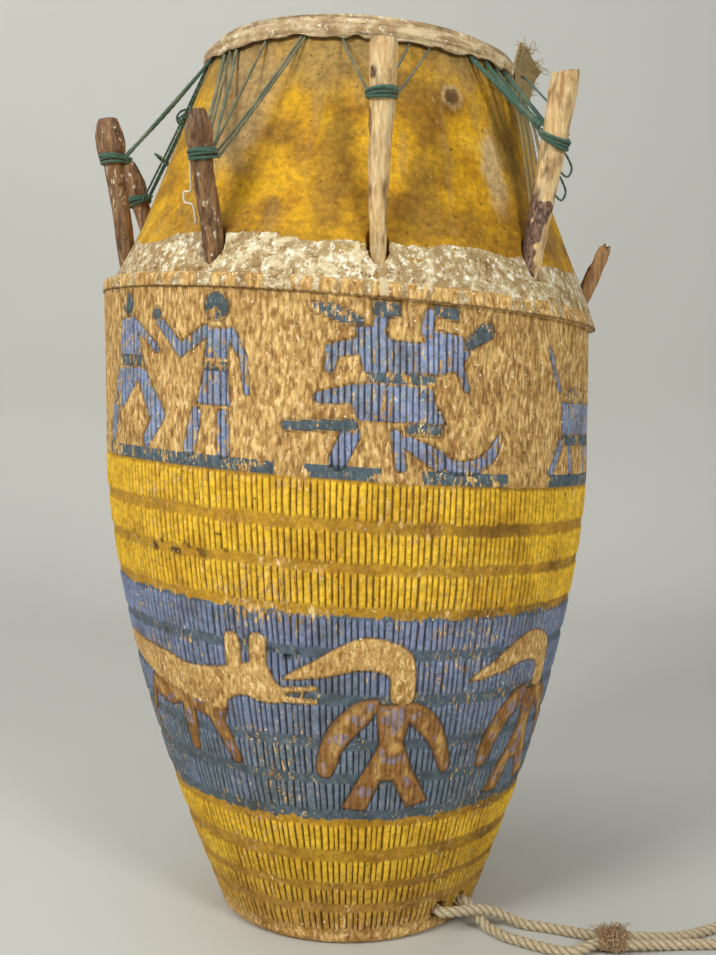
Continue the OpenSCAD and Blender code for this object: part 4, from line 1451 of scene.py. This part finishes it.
def studio_paper():
    """Pale matte paper. It is clear from behind, so that a camera back there sees the drum too."""
    g = Graph("studio_paper", roughness=0.9, specular=0.15)
    soft = g.between(g.noise(420, 3, 0.5), 0.965, 1.03)
    side = g.node("ShaderNodeNewGeometry", {}).outputs["Backfacing"]
    clear = g.node("ShaderNodeBsdfTransparent", {}).outputs[0]
    mixed = g.node("ShaderNodeMixShader", {0: side, 1: g.surface.outputs[0], 2: clear}).outputs[0]
    g.put(g.output.inputs[0], mixed)
    return g.finish(g.mix(1.0, srgb(200, 200, 193), soft, "MULTIPLY"))


def build_studio():
    """A pale floor that turns up into a pale wall behind."""
    half, back, bend, height = 3200.0, 1500.0, 420.0, 3600.0
    profile = [(-2600.0, 0.0), (back - bend, 0.0)]
    turn = np.linspace(0.1, math.pi / 2, 14)
    profile += [*zip(back - bend + bend * np.sin(turn), bend - bend * np.cos(turn))]
    profile += [(back, height)]
    points = [(side * half, y, z) for y, z in profile for side in (-1, 1)]
    quads = np.array([[2 * k, 2 * k + 1, 2 * k + 3, 2 * k + 2] for k in range(len(profile) - 1)])
    studio = mesh_object("studio_floor", points, quads)
    studio.data.materials.append(studio_paper())


def area_light(name, place, target, size, watts, tint=(1.0, 1.0, 1.0)):
    lamp = bpy.data.lights.new(name, "AREA")
    lamp.shape = "RECTANGLE"
    lamp.size, lamp.size_y = size
    lamp.energy = watts
    lamp.color = tint
    obj = bpy.data.objects.new(name, lamp)
    bpy.context.scene.collection.objects.link(obj)
    obj.location = place
    aim(obj, target)


def aim(obj, target):
    away = np.array(target, float) - np.array(obj.location, float)
    pitch = math.atan2(math.hypot(away[0], away[1]), -away[2])
    obj.rotation_euler = (pitch, 0.0, math.atan2(-away[0], away[1]))


def build_light():
    area_light("key_left", (-1.5, -1.7, 1.7), (0, 0, 0.35), (0.8, 0.8), 40, (1.0, 0.985, 0.96))
    area_light("key_right", (1.2, -2.1, 1.5), (0, 0, 0.4), (0.6, 0.6), 27, (1.0, 0.99, 0.97))
    area_light("wall_wash", (-0.9, 0.2, 2.6), (-0.9, 1.3, 0.5), (1.8, 1.4), 20)
    world = bpy.data.worlds.new("soft_room")
    bpy.context.scene.world = world
    world.use_nodes = True
    world.node_tree.nodes["Background"].inputs[0].default_value = (0.95, 0.97, 1.0, 1.0)
    world.node_tree.nodes["Background"].inputs[1].default_value = 0.3


def build_camera():
    """At chest height before the drum, looking a little down."""
    camera = bpy.data.cameras.new("camera")
    camera.sensor_width = 36.0
    camera.lens = CAMERA_LENS
    obj = bpy.data.objects.new("camera", camera)
    bpy.context.scene.collection.objects.link(obj)
    obj.location = CAMERA_AT
    obj.rotation_euler = (math.radians(90 - CAMERA_DIP), 0.0, 0.0)
    bpy.context.scene.camera = obj


build_studio()
build_light()
build_camera()
bpy.context.scene.view_settings.view_transform = "Standard"
